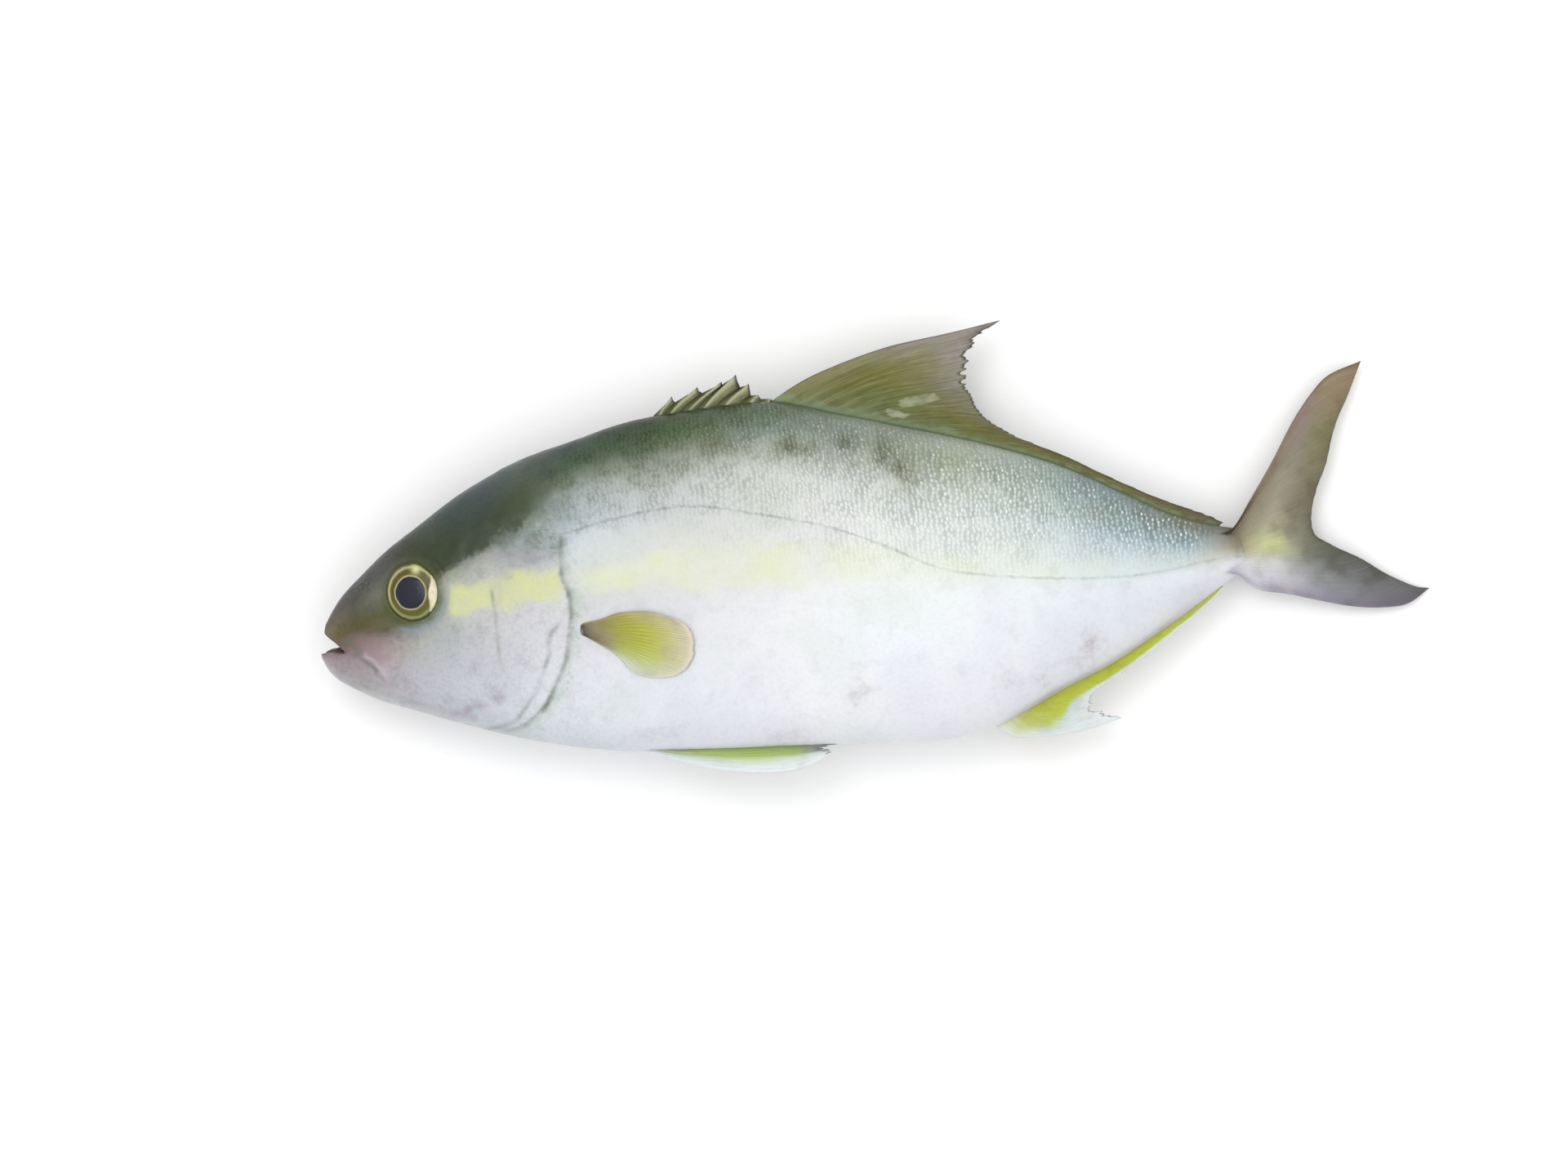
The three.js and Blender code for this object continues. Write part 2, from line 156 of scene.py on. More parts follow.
SECTION_FULLNESS = 0.86  # under 1, a section across the body is fuller than an ellipse
STALK_END = 1.016  # the scaled skin ends here, over the root of the tail fin
STALK_ROUNDING = 0.012

# The lips: the lower one runs back along the fish, the upper one is how far back the skin starts at a
# height up the snout, as (height, back)
UPPER_LIP = [
    (-0.041, 0.0262), (-0.009, 0.0156), (0.0075, 0.0088), (0.023, 0.0035), (0.036, 0.0025), (0.06, 0.009),
]
LOWER_LIP = [(-0.002, -0.033), (0.0085, -0.038), (0.019, -0.041), (0.0262, -0.0415)]
FAR_LIP_RISE = 2.2  # the far side of the slack lower jaw stands this much higher
MOUTH_CORNER = LOWER_LIP[-1][0] * LENGTH

DROOP_START = 0.5  # the tail sinks to the table behind here
TIP_HEIGHT = 0.6  # of the middle of the tail fin's tips above the table


def evened(x):
    """Spaces lengths from the snout evenly round its blunt tip."""
    return np.sqrt(np.asarray(x) - SNOUT_TIP)


back_share = smooth(BACK_LINE, evened)
belly_share = smooth(BELLY_LINE, evened)
widest_share = smooth(WIDEST_LINE, evened)
width_share = smooth(WIDTH_LINE, evened)


def end_rounding(x):
    """1 along the body, falling to 0 where the skin ends over the tail fin."""
    into = np.clip(1 - (STALK_END - x / LENGTH) / STALK_ROUNDING, 0, 1)
    return (1 - into**3) ** (1 / 3)


def back_y(x):
    return DEPTH * back_share(x / LENGTH)


def belly_y(x):
    return DEPTH * belly_share(x / LENGTH)


def widest_y(x):
    return DEPTH * widest_share(x / LENGTH)


def half_width(x):
    return HALF_WIDTH * width_share(x / LENGTH) * end_rounding(x)


def middle_z(x):
    """Height of the fish's middle plane: level along head and trunk, then sinking to the tail's tips."""
    start = DROOP_START * LENGTH
    share = np.maximum(0, (x - start) / (FISH_END - start))
    return LIE_HEIGHT - (LIE_HEIGHT - TIP_HEIGHT) * share**2


def flank_out(x, y):
    """How far the flank stands out from the middle plane at a place on the fish's side."""
    level = widest_y(x)
    reach = np.where(y > level, back_y(x) - level, level - belly_y(x))
    share = np.minimum(1, np.abs(y - level) / np.maximum(reach, 0.1))
    return half_width(x) * (1 - share**2) ** (SECTION_FULLNESS / 2)


def above_table(z, softness=0.6):
    """Flattens what would sink below the table, with a soft edge to the flat."""
    return (z + np.sqrt(z * z + softness * softness)) / 2


# ---- Lines and places on the skin, in shares of the body's length and depth ------------------------

GILL_EDGE = [
    (0.271, 0.224), (0.27, 0.184), (0.269, 0.122), (0.273, 0.069), (0.275, 0.022), (0.273, -0.018),
    (0.268, -0.079), (0.261, -0.138), (0.249, -0.197), (0.235, -0.25), (0.22, -0.282),
    (0.202, -0.302), (0.174, -0.305),
]
LOWER_GILL_FOLD = [
    (0.268, 0.004), (0.251, -0.053), (0.247, -0.103), (0.238, -0.163), (0.222, -0.231),
    (0.203, -0.282), (0.173, -0.304),
]
CHEEK_EDGE = [(0.191, 0.113), (0.192, 0.031), (0.192, -0.057), (0.192, -0.124), (0.199, -0.167)]
JAW_PLATE_LOWER = [
    (0.028, 0.0), (0.037, -0.029), (0.042, -0.057), (0.05, -0.078), (0.06, -0.104), (0.069, -0.143),
]
JAW_PLATE_UPPER = [
    (0.033, 0.01), (0.055, 0.005), (0.076, -0.002), (0.087, -0.03), (0.088, -0.065), (0.08, -0.11),
]
STALK_EDGE = [(0.985, 0.075), (0.993, 0.071), (1.0055, 0.008), (1.012, -0.053)]
JAW_FOLD = [(0.03, -0.125), (0.08, -0.185), (0.13, -0.235), (0.17, -0.268)]
LATERAL_LINE = [
    (0.275, 0.235), (0.331, 0.264), (0.413, 0.279), (0.489, 0.235), (0.565, 0.176), (0.626, 0.102),
    (0.68, 0.026), (0.742, -0.014), (0.826, -0.044), (0.904, -0.054), (0.984, -0.031),
    (1.011, -0.031),
]
CHEEK_STRIPE = [(0.144, 0.078), (0.191, 0.085), (0.223, 0.093), (0.268, 0.1)]
FLANK_STRIPE = [
    (0.28, 0.098), (0.422, 0.098), (0.528, 0.079), (0.6, 0.068), (0.759, -0.004), (0.906, -0.03),
]
NAPE_EDGE = [
    (0.125, 0.136), (0.146, 0.161), (0.16, 0.181), (0.185, 0.217), (0.209, 0.254), (0.242, 0.289),
    (0.261, 0.334), (0.297, 0.413),
]
EYE = (0.1055, 0.1145)
NOSTRILS = [(0.05, 0.143), (0.057, 0.155)]
PITS = [(0.2686, -0.141), (0.267, -0.163), (0.2645, -0.19), (0.2625, -0.206), (0.269, -0.176)]
# Patches on the skin: place in shares, half sizes along and up in mm, strength
BRUISES = [
    (0.452, 0.452, 4.5, 3, 0.8), (0.53, 0.415, 4.5, 3.5, 1.0), (0.55, 0.405, 5, 3, 0.9),
    (0.593, 0.42, 4, 3, 0.7), (0.632, 0.375, 3, 5, 1.2), (0.646, 0.335, 3, 4, 1.1),
    (0.652, 0.29, 3, 4, 0.6), (0.4, 0.4, 8, 5, 0.25), (0.25, 0.225, 6, 3.5, 0.5),
    (0.263, 0.195, 3, 5, 0.35),
]
OLIVE = [
    (0.658, 0.33, 9, 9, 0.8), (0.705, 0.327, 9, 6, 0.7), (0.448, 0.445, 16, 6, 0.5),
    (0.62, 0.38, 14, 6, 0.5), (0.53, 0.42, 12, 6, 0.5), (0.37, 0.37, 14, 5, 0.35),
    (0.86, 0.14, 7, 3, 0.5),
]
STAINS = [
    (0.577, -0.307, 4, 4, 0.8), (0.836, -0.242, 4, 5, 0.8), (0.779, -0.321, 2.5, 4, 0.7),
    (0.747, -0.324, 6, 3, 0.5), (0.35, -0.368, 7, 3, 0.5), (0.497, -0.409, 6, 3, 0.5),
    (0.82, -0.28, 4, 3, 0.5),
]
MOSS = [(0.42, 0.5, 13, 4, 0.85), (0.35, 0.46, 12, 5, 0.3), (0.24, 0.33, 7, 5, 0.6)]
VEINS = [
    (0.249, 0.242, 7, 3.5, 0.9), (0.262, 0.2, 4, 5, 0.6), (0.277, -0.02, 2, 7, 0.5),
    (0.268, 0.3, 6, 4, 0.6),
]
CHEEK_STAINS = [
    (0.138, -0.246, 2.4, 1.6, 1.0), (0.152, -0.238, 2.4, 1.8, 1.0), (0.166, -0.23, 2.2, 1.6, 0.9),
    (0.186, -0.214, 2.6, 1.8, 0.9), (0.147, -0.25, 7, 2.4, 0.4),
]

# Folds: the line, its hills and hollows as (height, distance to its left, width) in mm, and the shares
# of the line over which they rise at its start and die away at its end
FOLDS = [
    (LOWER_GILL_FOLD, [(-0.5, 0, 0.8), (0.25, -1.8, 1.2)], 0.15, 0.15),
    (CHEEK_EDGE, [(-0.4, 0.4, 0.7), (0.3, -1.6, 1.6)], 0.25, 0.2),
    (JAW_PLATE_LOWER, [(-0.55, -0.5, 0.6)], 0.2, 0.1),
    (JAW_FOLD, [(-0.3, 0, 0.8)], 0.2, 0.2),
]
# Painted shade in the folds, drawn as dark lines: the line, strength, distance to its left and width
# in mm, the shares over which it rises and dies away, and where it is broken into strokes, the
# strength left between them
FOLD_SHADE_LINES = [
    (GILL_EDGE, 1, 0.5, 0.95, 0, 0.1, 0.3),
    (LOWER_GILL_FOLD, 0.75, 0, 0.8, 0.1, 0, 0.2),
    (CHEEK_EDGE, 0.7, 0.4, 0.6, 0.1, 0.5, 0.3),
    (JAW_FOLD, 0.3, 0, 0.8, 0, 0.3, None),
    (STALK_EDGE, 0.6, 0, 0.6, 0.2, 0.2, None),
]

# ---- Mesh making ----------------------------------------------------------------------------------


def finished_mesh(name, bm, node, material):
    """Turns a bmesh in fish millimetres into the piece that stands for a CAD node."""
    for vertex in bm.verts:
        vertex.co = [(c + o) * MM for c, o in zip(vertex.co, ORIGIN)]
    mesh = bpy.data.meshes.new(name)
    bm.to_mesh(mesh)
    bm.free()
    mesh.polygons.foreach_set("use_smooth", [True] * len(mesh.polygons))
    mesh.materials.append(material)
    piece = bpy.data.objects.new(name, mesh)
    bpy.context.scene.collection.objects.link(piece)
    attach(piece, "root")
    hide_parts(node)
    return piece


def move_vertices(bm, places):
    for vertex, place in zip(bm.verts, places):
        vertex.co = place


def mark_vertices(bm, **marks):
    """Stores numbers on the vertices, which the materials read as attributes of those names."""
    for name, values in marks.items():
        layer = bm.verts.layers.float.new(name)
        for vertex, value in zip(bm.verts, values):
            vertex[layer] = value


def wander(x, y, seed, size):
    """A smooth seeded unevenness of about plus or minus 1, with hills about size mm across."""
    random = np.random.default_rng(seed)
    total = np.zeros(np.shape(x))
    for _ in range(7):
        direction = random.uniform(0, 2 * math.pi)
        turns = random.uniform(0.7, 1.5) * 2 * math.pi / (2 * size)
        phase = random.uniform(0, 2 * math.pi)
        total = total + np.sin(turns * (x * math.cos(direction) + y * math.sin(direction)) + phase)
    return total / 3.5


# ---- Body -----------------------------------------------------------------------------------------

AROUND, AROUND_UPPER = 288, 176  # sides of a ring of the body's mesh, and those on the upper flank
EVENING = 0.12  # spaces the rows more evenly over the flanks
LIP_RINGS, HEAD_RINGS, TRUNK_RINGS, STALK_RINGS = 26, 158, 148, 8
RINGS = LIP_RINGS + HEAD_RINGS + TRUNK_RINGS + STALK_RINGS
RELIEF_END = 0.99  # the folds and scales fade out here, in a share of the body's length
LIPS_END, LIP_SMOOTHINGS = 0.04, 2  # the skin is smoothed in front of here, so that the lips are round


def ring_places():
    """Where the rings of the body's mesh stand: crowded at the lips, close on the head, open behind."""
    tip, lips, head, trunk, end = np.array([SNOUT_TIP, 0.026, 0.3, 0.985, STALK_END]) * LENGTH
    return np.concatenate([
        tip + (lips - tip) * np.linspace(0, 1, LIP_RINGS, endpoint=False) ** 2,
        np.linspace(lips, head, HEAD_RINGS, endpoint=False),
        np.linspace(head, trunk, TRUNK_RINGS, endpoint=False),
        end - (end - trunk) * np.linspace(1, 0, STALK_RINGS + 1) ** 2,
    ])


def body_skin(ring, turn):
    """Places on the bare body, before its relief. Turn 0 is the belly line and AROUND_UPPER the back's."""
    x = ring_places()[ring]
    angle = np.interp(turn, [0, AROUND_UPPER, AROUND], [-math.pi / 2, math.pi / 2, 1.5 * math.pi])
    angle = angle - EVENING * np.sin(2 * angle)
    up = np.sin(angle)
    level = widest_y(x)
    reach = np.where(up > 0, back_y(x) - level, level - belly_y(x)) * end_rounding(x)
    side = np.where(turn < AROUND_UPPER, 1, -1)
    out = half_width(x) * np.abs(np.cos(angle)) ** SECTION_FULLNESS
    return np.stack([x, level + reach * up, middle_z(x) + side * out], -1), side


def open_mouth(places, side):
    """Draws the skin between the lips back to the corner of the mouth. Returns how deep each point went."""
    x, y = places[..., 0], places[..., 1]
    share = np.clip(x / MOUTH_CORNER, 0, 1)
    rise = np.where(side < 0, FAR_LIP_RISE * 4 * share * (1 - share), 0)
    lower = DEPTH * smooth(LOWER_LIP)(x / LENGTH) + rise
    upper = LENGTH * smooth(UPPER_LIP)(y / DEPTH)
    inside = (y > lower + 0.01) & (x < upper)
    places[..., 0] = np.where(inside, upper, x)
    return inside.astype(float)


def faded(passed, rise, die):
    """1 along a line, rising over a share of it at its start and dying away over one at its end."""
    start = ramp(passed, 0, rise) if rise else 1
    end = ramp(1 - passed, 0, die) if die else 1
    return start * end


def from_place(place, x, y):
    """Distance in mm from a place that is given in shares of the body's length and depth."""
    return np.hypot(x - place[0] * LENGTH, y - place[1] * DEPTH)


def from_eye_ring(x, y):
    """Distance from the eye's middle, measured so that the taller than long socket is a circle."""
    return np.hypot(x - EYE[0] * LENGTH, (y - EYE[1] * DEPTH) * EYE_ROUNDNESS)


def jaw_plate(x, y, softness=0):
    """1 on the bony plate above the corner of the mouth, with the distances to its two edges."""
    over_lower, plate_share = from_line(JAW_PLATE_LOWER, x, y)
    under_upper, rim_share = from_line(JAW_PLATE_UPPER, x, y)
    within = ramp(over_lower, -0.2 - softness, 0.9 + softness)
    within = within * ramp(-under_upper, -0.3 - softness, 1.2 + softness)
    within = within * ramp(x / LENGTH, 0.026, 0.034) * ramp(y / DEPTH, -0.15, -0.13)
    return within, over_lower, plate_share, under_upper, rim_share


GILL_COVER_LIFT, GILL_GAP = 0.8, 0.45  # the cover's edge stands up, and the skin behind it dips
JAW_PLATE_LIFT = 0.6
LID_HEIGHT, SOCKET_DEPTH, EYE_CREASE = 0.7, 3.5, 0.3
NOSTRIL_RIM, NOSTRIL_DEPTH = 0.35, 1.1
SHOULDER, SHOULDER_LIFT = (0.285, -0.05), 0.9  # the pectoral fin's muscle behind the gill cover
LIP_ROLL = 0.35


def body_relief(x, y):
    """Height of the folds, plates and pits on one flank, in mm."""
    behind_gill, gill_share = from_line(GILL_EDGE, x, y)
    on_gill = faded(gill_share, 0.12, 0.1)
    height = on_gill * np.where(behind_gill < 0, GILL_COVER_LIFT * np.exp(behind_gill / 9), 0)
    height = height - on_gill * np.where(behind_gill >= 0, GILL_GAP * np.exp(-behind_gill / 2.5), 0)
    for line, hills, rise, die in FOLDS:
        away, passed = from_line(line, x, y)
        for hill, beside, width in hills:
            height = height + hill * bump(away, beside, width) * faded(passed, rise, die)

    on_plate, _, _, under_upper, rim_share = jaw_plate(x, y)
    height = height + JAW_PLATE_LIFT * on_plate
    height = height - 0.35 * bump(under_upper, 0.4, 0.6) * ramp(rim_share, 0.1, 0.5)

    from_eye = from_eye_ring(x, y)
    height = height + LID_HEIGHT * bump(from_eye, EYE_RADIUS + 1.0, 1.0)
    height = height - SOCKET_DEPTH * ramp(-from_eye, -EYE_RADIUS, -EYE_RADIUS + 1.4)
    height = height - EYE_CREASE * bump(from_eye, EYE_RADIUS + 3.6, 0.9) * ramp(x / LENGTH, 0.08, 0.13)
    for nostril in NOSTRILS:
        away = from_place(nostril, x, y)
        height = height + NOSTRIL_RIM * bump(away, 1.3, 0.5) - NOSTRIL_DEPTH * bump(away, 0, 0.8)

    from_lateral, lateral_share = from_line(LATERAL_LINE, x, y)
    thread = bump(from_lateral, 0, 0.6) * ramp(lateral_share, 0, 0.03)
    height = height + (0.1 + 0.15 * lateral_share) * thread
    shoulder = np.hypot((x - SHOULDER[0] * LENGTH) / 6, (y - SHOULDER[1] * DEPTH) / 4)
    height = height + SHOULDER_LIFT * bump(shoulder, 0, 1)
    lip = bump(np.abs(y / DEPTH - smooth(LOWER_LIP)(x / LENGTH)) * DEPTH, 1.1, 0.8)
    height = height + LIP_ROLL * lip * (1 - ramp(x / LENGTH, 0.02, 0.03))
    return height + 0.12 * wander(x, y, 3, 12) + 0.05 * wander(x, y, 4, 4)


def fold_shade_marks(x, y, uneven, strokes):
    """How dark the painted shade is in the folds, the nostrils and the pits behind the gill cover."""
    shade_lines = np.zeros(x.shape)
    for line, strength, beside, width, rise, die, between in FOLD_SHADE_LINES:
        away, passed = from_line(line, x, y)
        drawn = strength * faded(passed, rise, die)
        if between is not None:
            away = away + 0.3 * uneven
            drawn = drawn * (between + strokes)
        shade_lines = np.maximum(shade_lines, drawn * bump(away, beside, width))
    for places, strength, size in ((NOSTRILS, 1, 1.0), (PITS, 0.8, 0.5)):
        for place in places:
            shade_lines = np.maximum(shade_lines, strength * bump(from_place(place, x, y), 0, size))
    return shade_lines


def stripe_marks(x, y, uneven, strokes):
    """The yellow stripe: strong on the cheek, broken at the gill edge, fading out along the flank."""
    share = x / LENGTH
    ragged_share = (x + uneven) / LENGTH
    off_cheek, _ = from_line(CHEEK_STRIPE, x, y)
    half = 4.7 + 0.9 * ramp(share, 0.185, 0.2) + 1.2 * uneven
    cheek = ramp(-np.abs(off_cheek), -half - 2.2, -half + 1.8) * (0.75 + 0.25 * strokes)
    cheek = cheek * (1 - 0.45 * bump(x, 0.195 * LENGTH, 3))
    cheek = cheek * ramp(ragged_share, 0.138, 0.152) * (1 - ramp(ragged_share, 0.262, 0.271))

    off_flank, flank_run = from_line(FLANK_STRIPE, x, y)
    half = 3.5 + 4 * ramp(flank_run, 0, 0.2) - 5 * ramp(flank_run, 0.45, 0.9) + uneven
    flank = ramp(-np.abs(off_flank), -half - 3, -half + 3) * (0.85 - 0.5 * ramp(flank_run, 0.3, 0.8))
    flank = flank * (0.7 + 0.45 * wander(x, y, 17, 13))
    flank = flank * ramp(x + 2 * uneven, 0.272 * LENGTH, 0.3 * LENGTH) * ramp(1 - flank_run, 0, 0.1)
    return cheek, flank


def patch_marks(x, y, patches):
    """Soft patches with uneven edges."""
    total = np.zeros(x.shape)
    frayed = 1 + 0.3 * wander(x, y, 14, 2)
    for along, up, wide, tall, strength in patches:
        away = np.hypot((x - along * LENGTH) / wide, (y - up * DEPTH) / tall)
        total = np.maximum(total, strength * bump(away * frayed, 0, 1))
    return np.minimum(total, 1)


HIDDEN_SIDE_PATCHES = 0.35  # the patches are this faint on the side that the fish lies on


def body_marks(x, y, deep, side):
    """The numbers that the skin's colours follow, at each place on the body."""
    # Everything drawn on the skin is a little uneven, so that no line is ruled
    uneven = 0.9 * wander(x, y, 11, 6) + 0.5 * wander(x, y, 12, 2.5)
    strokes = 0.55 + 0.45 * wander(x, y, 13, 5)
    share = x / LENGTH
    behind_gill, gill_share = from_line(GILL_EDGE, x, y)
    from_lateral, lateral_share = from_line(LATERAL_LINE, x, y)
    on_plate, over_lower, plate_share, under_upper, rim_share = jaw_plate(x + uneven, y + uneven, 1.6)
    # The dark line along the plate's lower edge is painted shade in its fold
    plate_fold_shade = 0.9 * bump(over_lower, -0.5, 0.6) * ramp(1 - plate_share, 0, 0.3)
    stripe, flank_stripe = stripe_marks(x, y, uneven, strokes)

    above_nape, nape_run = from_line(NAPE_EDGE, x, y)
    frayed = uneven + 0.7 * wander(x, y, 15, 1.6)
    nape = ramp(above_nape + frayed, -0.8, 0.9) * bump(np.maximum(above_nape - 4, 0), 0, 7)

    from_eye = from_eye_ring(x, y)
    below_eye = ramp(0.7 * (x - EYE[0] * LENGTH) - (y - EYE[1] * DEPTH) * EYE_ROUNDNESS, 4, 9)
    visible = np.where(side > 0, 1.0, HIDDEN_SIDE_PATCHES)
    return {
        "up": (y - belly_y(x)) / np.maximum(back_y(x) - belly_y(x), 1),
        "along": share,
        "deep": deep,
        "gill": bump(behind_gill, 2.2, 2.5) * (behind_gill > -1) * ramp(gill_share, 0.1, 0.3),
        # painted shade in the folds, the nostrils and the pits
        "crease": np.maximum(fold_shade_marks(x, y, uneven, strokes), plate_fold_shade),
        "stripe": stripe,
        "flank_stripe": flank_stripe,
        "nape": nape * faded(nape_run, 0.12, 0.35),
        "plate": on_plate,
        "plate_shine": bump(over_lower, 1.4, 0.7) * ramp(plate_share, 0.3, 0.5) * faded(plate_share, 0, 0.1),
        "plate_rim": bump(under_upper, 0.7, 0.7) * ramp(rim_share, 0.4, 0.55) * faded(rim_share, 0, 0.1),
        "lid": bump(from_eye, EYE_RADIUS + 3.4, 0.9) * below_eye,
        "lateral": from_lateral + 0.15 * wander(x, y, 16, 2) + 100 * (lateral_share <= 0),
        "eye": from_eye,
        "moss": patch_marks(x, y, MOSS),
        "vein": patch_marks(x, y, VEINS),
        "bruise": patch_marks(x, y, BRUISES) * visible,
        "olive": patch_marks(x, y, OLIVE) * visible,
        # A grey-olive line just inside the belly along the anal fin's root: painted shade where the fin meets
        # the body
        "fin_root": bump(y - belly_y(x), 0.8, 1.3) * ramp(share, 0.72, 0.77) * (1 - ramp(share, 0.92, 0.97)),
        "stain": patch_marks(x, y, STAINS) * visible,
        "cheek_stain": patch_marks(x, y, CHEEK_STAINS) * visible,
    }


def girth_of(places):
    """Distance over the skin from the belly line to each point, counted the same way up both flanks."""
    step = np.linalg.norm(np.diff(places, axis=1, append=places[:, :1]), axis=2)
    rising = np.cumsum(step, axis=1) - step
    falling = step[:, ::-1].cumsum(axis=1)[:, ::-1]
    upper = np.arange(AROUND) <= AROUND_UPPER
    return np.where(upper, rising, falling)


def make_body(material):
    """A ball with its poles at the lower jaw's tip and the tail stalk's end, drawn to the fish's shape."""
    bm = bmesh.new()
    bmesh.ops.create_uvsphere(bm, u_segments=AROUND, v_segments=RINGS, radius=1)
    ball = np.array([vertex.co for vertex in bm.verts])
    ring = np.rint(np.arccos(np.clip(-ball[:, 2], -1, 1)) / math.pi * RINGS).astype(int)
    turn = np.rint(np.arctan2(-ball[:, 1], ball[:, 0]) / (2 * math.pi) * AROUND).astype(int) % AROUND
    poles = (ring == 0) | (ring == RINGS)
    grid = np.lexsort((turn[~poles], ring[~poles])).reshape(RINGS - 1, AROUND)
    grid = np.flatnonzero(~poles)[grid]

    places, side = body_skin(ring, turn)
    deep = open_mouth(places, side)
    net = places[grid]
    around = np.roll(net, -1, axis=1) - np.roll(net, 1, axis=1)
    onward = np.gradient(net, axis=0)
    out = np.cross(onward, around)
    out /= np.maximum(np.linalg.norm(out, axis=2, keepdims=True), 1e-9)
    x, y, above_middle = net[..., 0], net[..., 1], net[..., 2] - middle_z(net[..., 0])
    out *= np.where((out[..., 2] * above_middle).sum() < 0, -1, 1)
    lift = body_relief(x, y) * ramp(RELIEF_END * LENGTH - x, -4, 4) * (1 - deep[grid])
    net = net + out * lift[..., None]
    net[..., 2] = above_table(net[..., 2])
    places[grid] = net
    places[poles, 2] = above_table(places[poles, 2])
    girth = np.zeros(len(places))
    girth[grid] = girth_of(net)

    move_vertices(bm, places)
    mark_vertices(bm, girth=girth, **body_marks(places[:, 0], places[:, 1], deep, side))
    lips = [vertex for vertex in bm.verts if vertex.co.x < LIPS_END * LENGTH]
    for _ in range(LIP_SMOOTHINGS):
        bmesh.ops.smooth_vert(
            bm, verts=lips, factor=0.35, use_axis_x=True, use_axis_y=True, use_axis_z=True
        )
    bmesh.ops.recalc_face_normals(bm, faces=bm.faces)
    return finished_mesh("fish_body", bm, "body", material)


# ---- Eyes -----------------------------------------------------------------------------------------

eye_low, eye_high = fish_box("left_eye")
EYE_RADIUS = (eye_high[0] - eye_low[0]) / 2 - 0.7  # the lids cover the ball's edge
EYE_ROUNDNESS = 0.92  # the socket is a little taller than it is long
PUPIL_FORWARD = 0.65  # the pupil stands this much nearer the snout than the middle of the iris
# Radius and height above the iris's edge, from the middle outwards
EYE_PROFILE = [
    (0, 1.75), (2.5, 1.7), (4.6, 1.45), (5.3, 1.2), (5.7, 1.22), (6.6, 1.05), (7.6, 0.8), (8.3, 0.6),
    (8.8, 0.2), (9.6, -0.9), (10.4, -2.6),
]
EYE_STEPS, EYE_TURNS = 52, 128
EYE_BULGE = 0.15  # the iris stands this far out of the cheek


def make_eye(name, node, side, material):
    """An eye spun from its profile: a domed pupil, a dished iris and an edge that runs under the lids."""
    bm = bmesh.new()
    height = smooth(EYE_PROFILE)
    radii = np.linspace(0, EYE_PROFILE[-1][0], EYE_STEPS)
    profile = [bm.verts.new((r, 0, height(r))) for r in radii]
    edges = [bm.edges.new(pair) for pair in zip(profile[:-1], profile[1:])]
    bmesh.ops.spin(
        bm, geom=profile + edges, cent=(0, 0, 0), axis=(0, 0, 1), angle=2 * math.pi,
        steps=EYE_TURNS, use_merge=True,
    )
    bmesh.ops.remove_doubles(bm, verts=bm.verts, dist=0.001)
    rim = [edge for edge in bm.edges if edge.is_boundary]
    bmesh.ops.holes_fill(bm, edges=rim, sides=0)

    ball = np.array([vertex.co for vertex in bm.verts])
    from_iris, from_pupil = (np.hypot(ball[:, 0] + shift, ball[:, 1]) for shift in (0, PUPIL_FORWARD))
    radius = from_pupil + (from_iris - from_pupil) * ramp(from_iris, 5.8, 8)
    angle = np.arctan2(ball[:, 1], ball[:, 0])
    widening = np.cos(np.clip((angle + 0.14) / 0.8, -1, 1) * math.pi / 2)
    crescent = ramp(from_iris - 8.9 + 3.3 * widening, -0.2, 0.3) * ramp(8.9 - from_iris, -0.1, 0.25)
    crescent = crescent * ramp(widening, 0, 0.2)
    # A small pale spot on the upper iris is a painted glint of light
    glow = bump(np.hypot(ball[:, 0] - 2, ball[:, 1] - 7.3), 0, 1.5)
    mark_vertices(bm, radius=radius, crescent=crescent, glow=glow, upward=np.sin(angle))
    x, y = EYE[0] * LENGTH, EYE[1] * DEPTH
    # The eye looks out at right angles to the cheek, as the cheek runs over this distance either way
    step = 8
    slope_x = (flank_out(x + step, y) - flank_out(x - step, y)) / (2 * step)
    slope_y = (flank_out(x, y + step) - flank_out(x, y - step)) / (2 * step)
    out = flank_out(x, y) + EYE_BULGE + ball[:, 2]
    out = out + slope_x * ball[:, 0] + slope_y * ball[:, 1] / EYE_ROUNDNESS
    places = np.stack([x + ball[:, 0], y + ball[:, 1] / EYE_ROUNDNESS, middle_z(x) + side * out], -1)
    move_vertices(bm, places)
    bmesh.ops.recalc_face_normals(bm, faces=bm.faces)
    return finished_mesh(name, bm, node, material)


# ---- Fins -----------------------------------------------------------------------------------------

BOW_FADE = 3  # how fast the bow of a fin's front and rear edges dies away between them
FIN_SAG = 4  # how far the tip of the soft dorsal fin sinks under its own weight
SUNK = 2.5  # how deep a fin's root goes into the body


def patch(shape, u, v):
    """A place in a fin whose rays run from its root to its margin between two curved edge rays."""
    parts = ("root", "margin", "leading", "trailing")
    root, margin, leading, trailing = (curve(shape[part]) for part in parts)
    u_, v_ = u[..., None], v[..., None]

    def straight(start, end):
        return start + (end - start) * v_

    front = leading(v) - straight(root(0 * u), margin(0 * u))
    rear = trailing(v) - straight(root(0 * u + 1), margin(0 * u + 1))
    return straight(root(u), margin(u)) + front * (1 - u_) ** BOW_FADE + rear * u_**BOW_FADE


def fin_sleeve(columns, rows):
    """A grid that folds over a fin's free edge. Returns it with each vertex's ray, out and face."""
    bm = bmesh.new()
    bmesh.ops.create_grid(bm, x_segments=columns, y_segments=2 * rows, size=1)
    flat = np.array([vertex.co for vertex in bm.verts])
    ray = (flat[:, 0] + 1) / 2
    return bm, ray, 1 - np.abs(flat[:, 1]), np.sign(flat[:, 1])


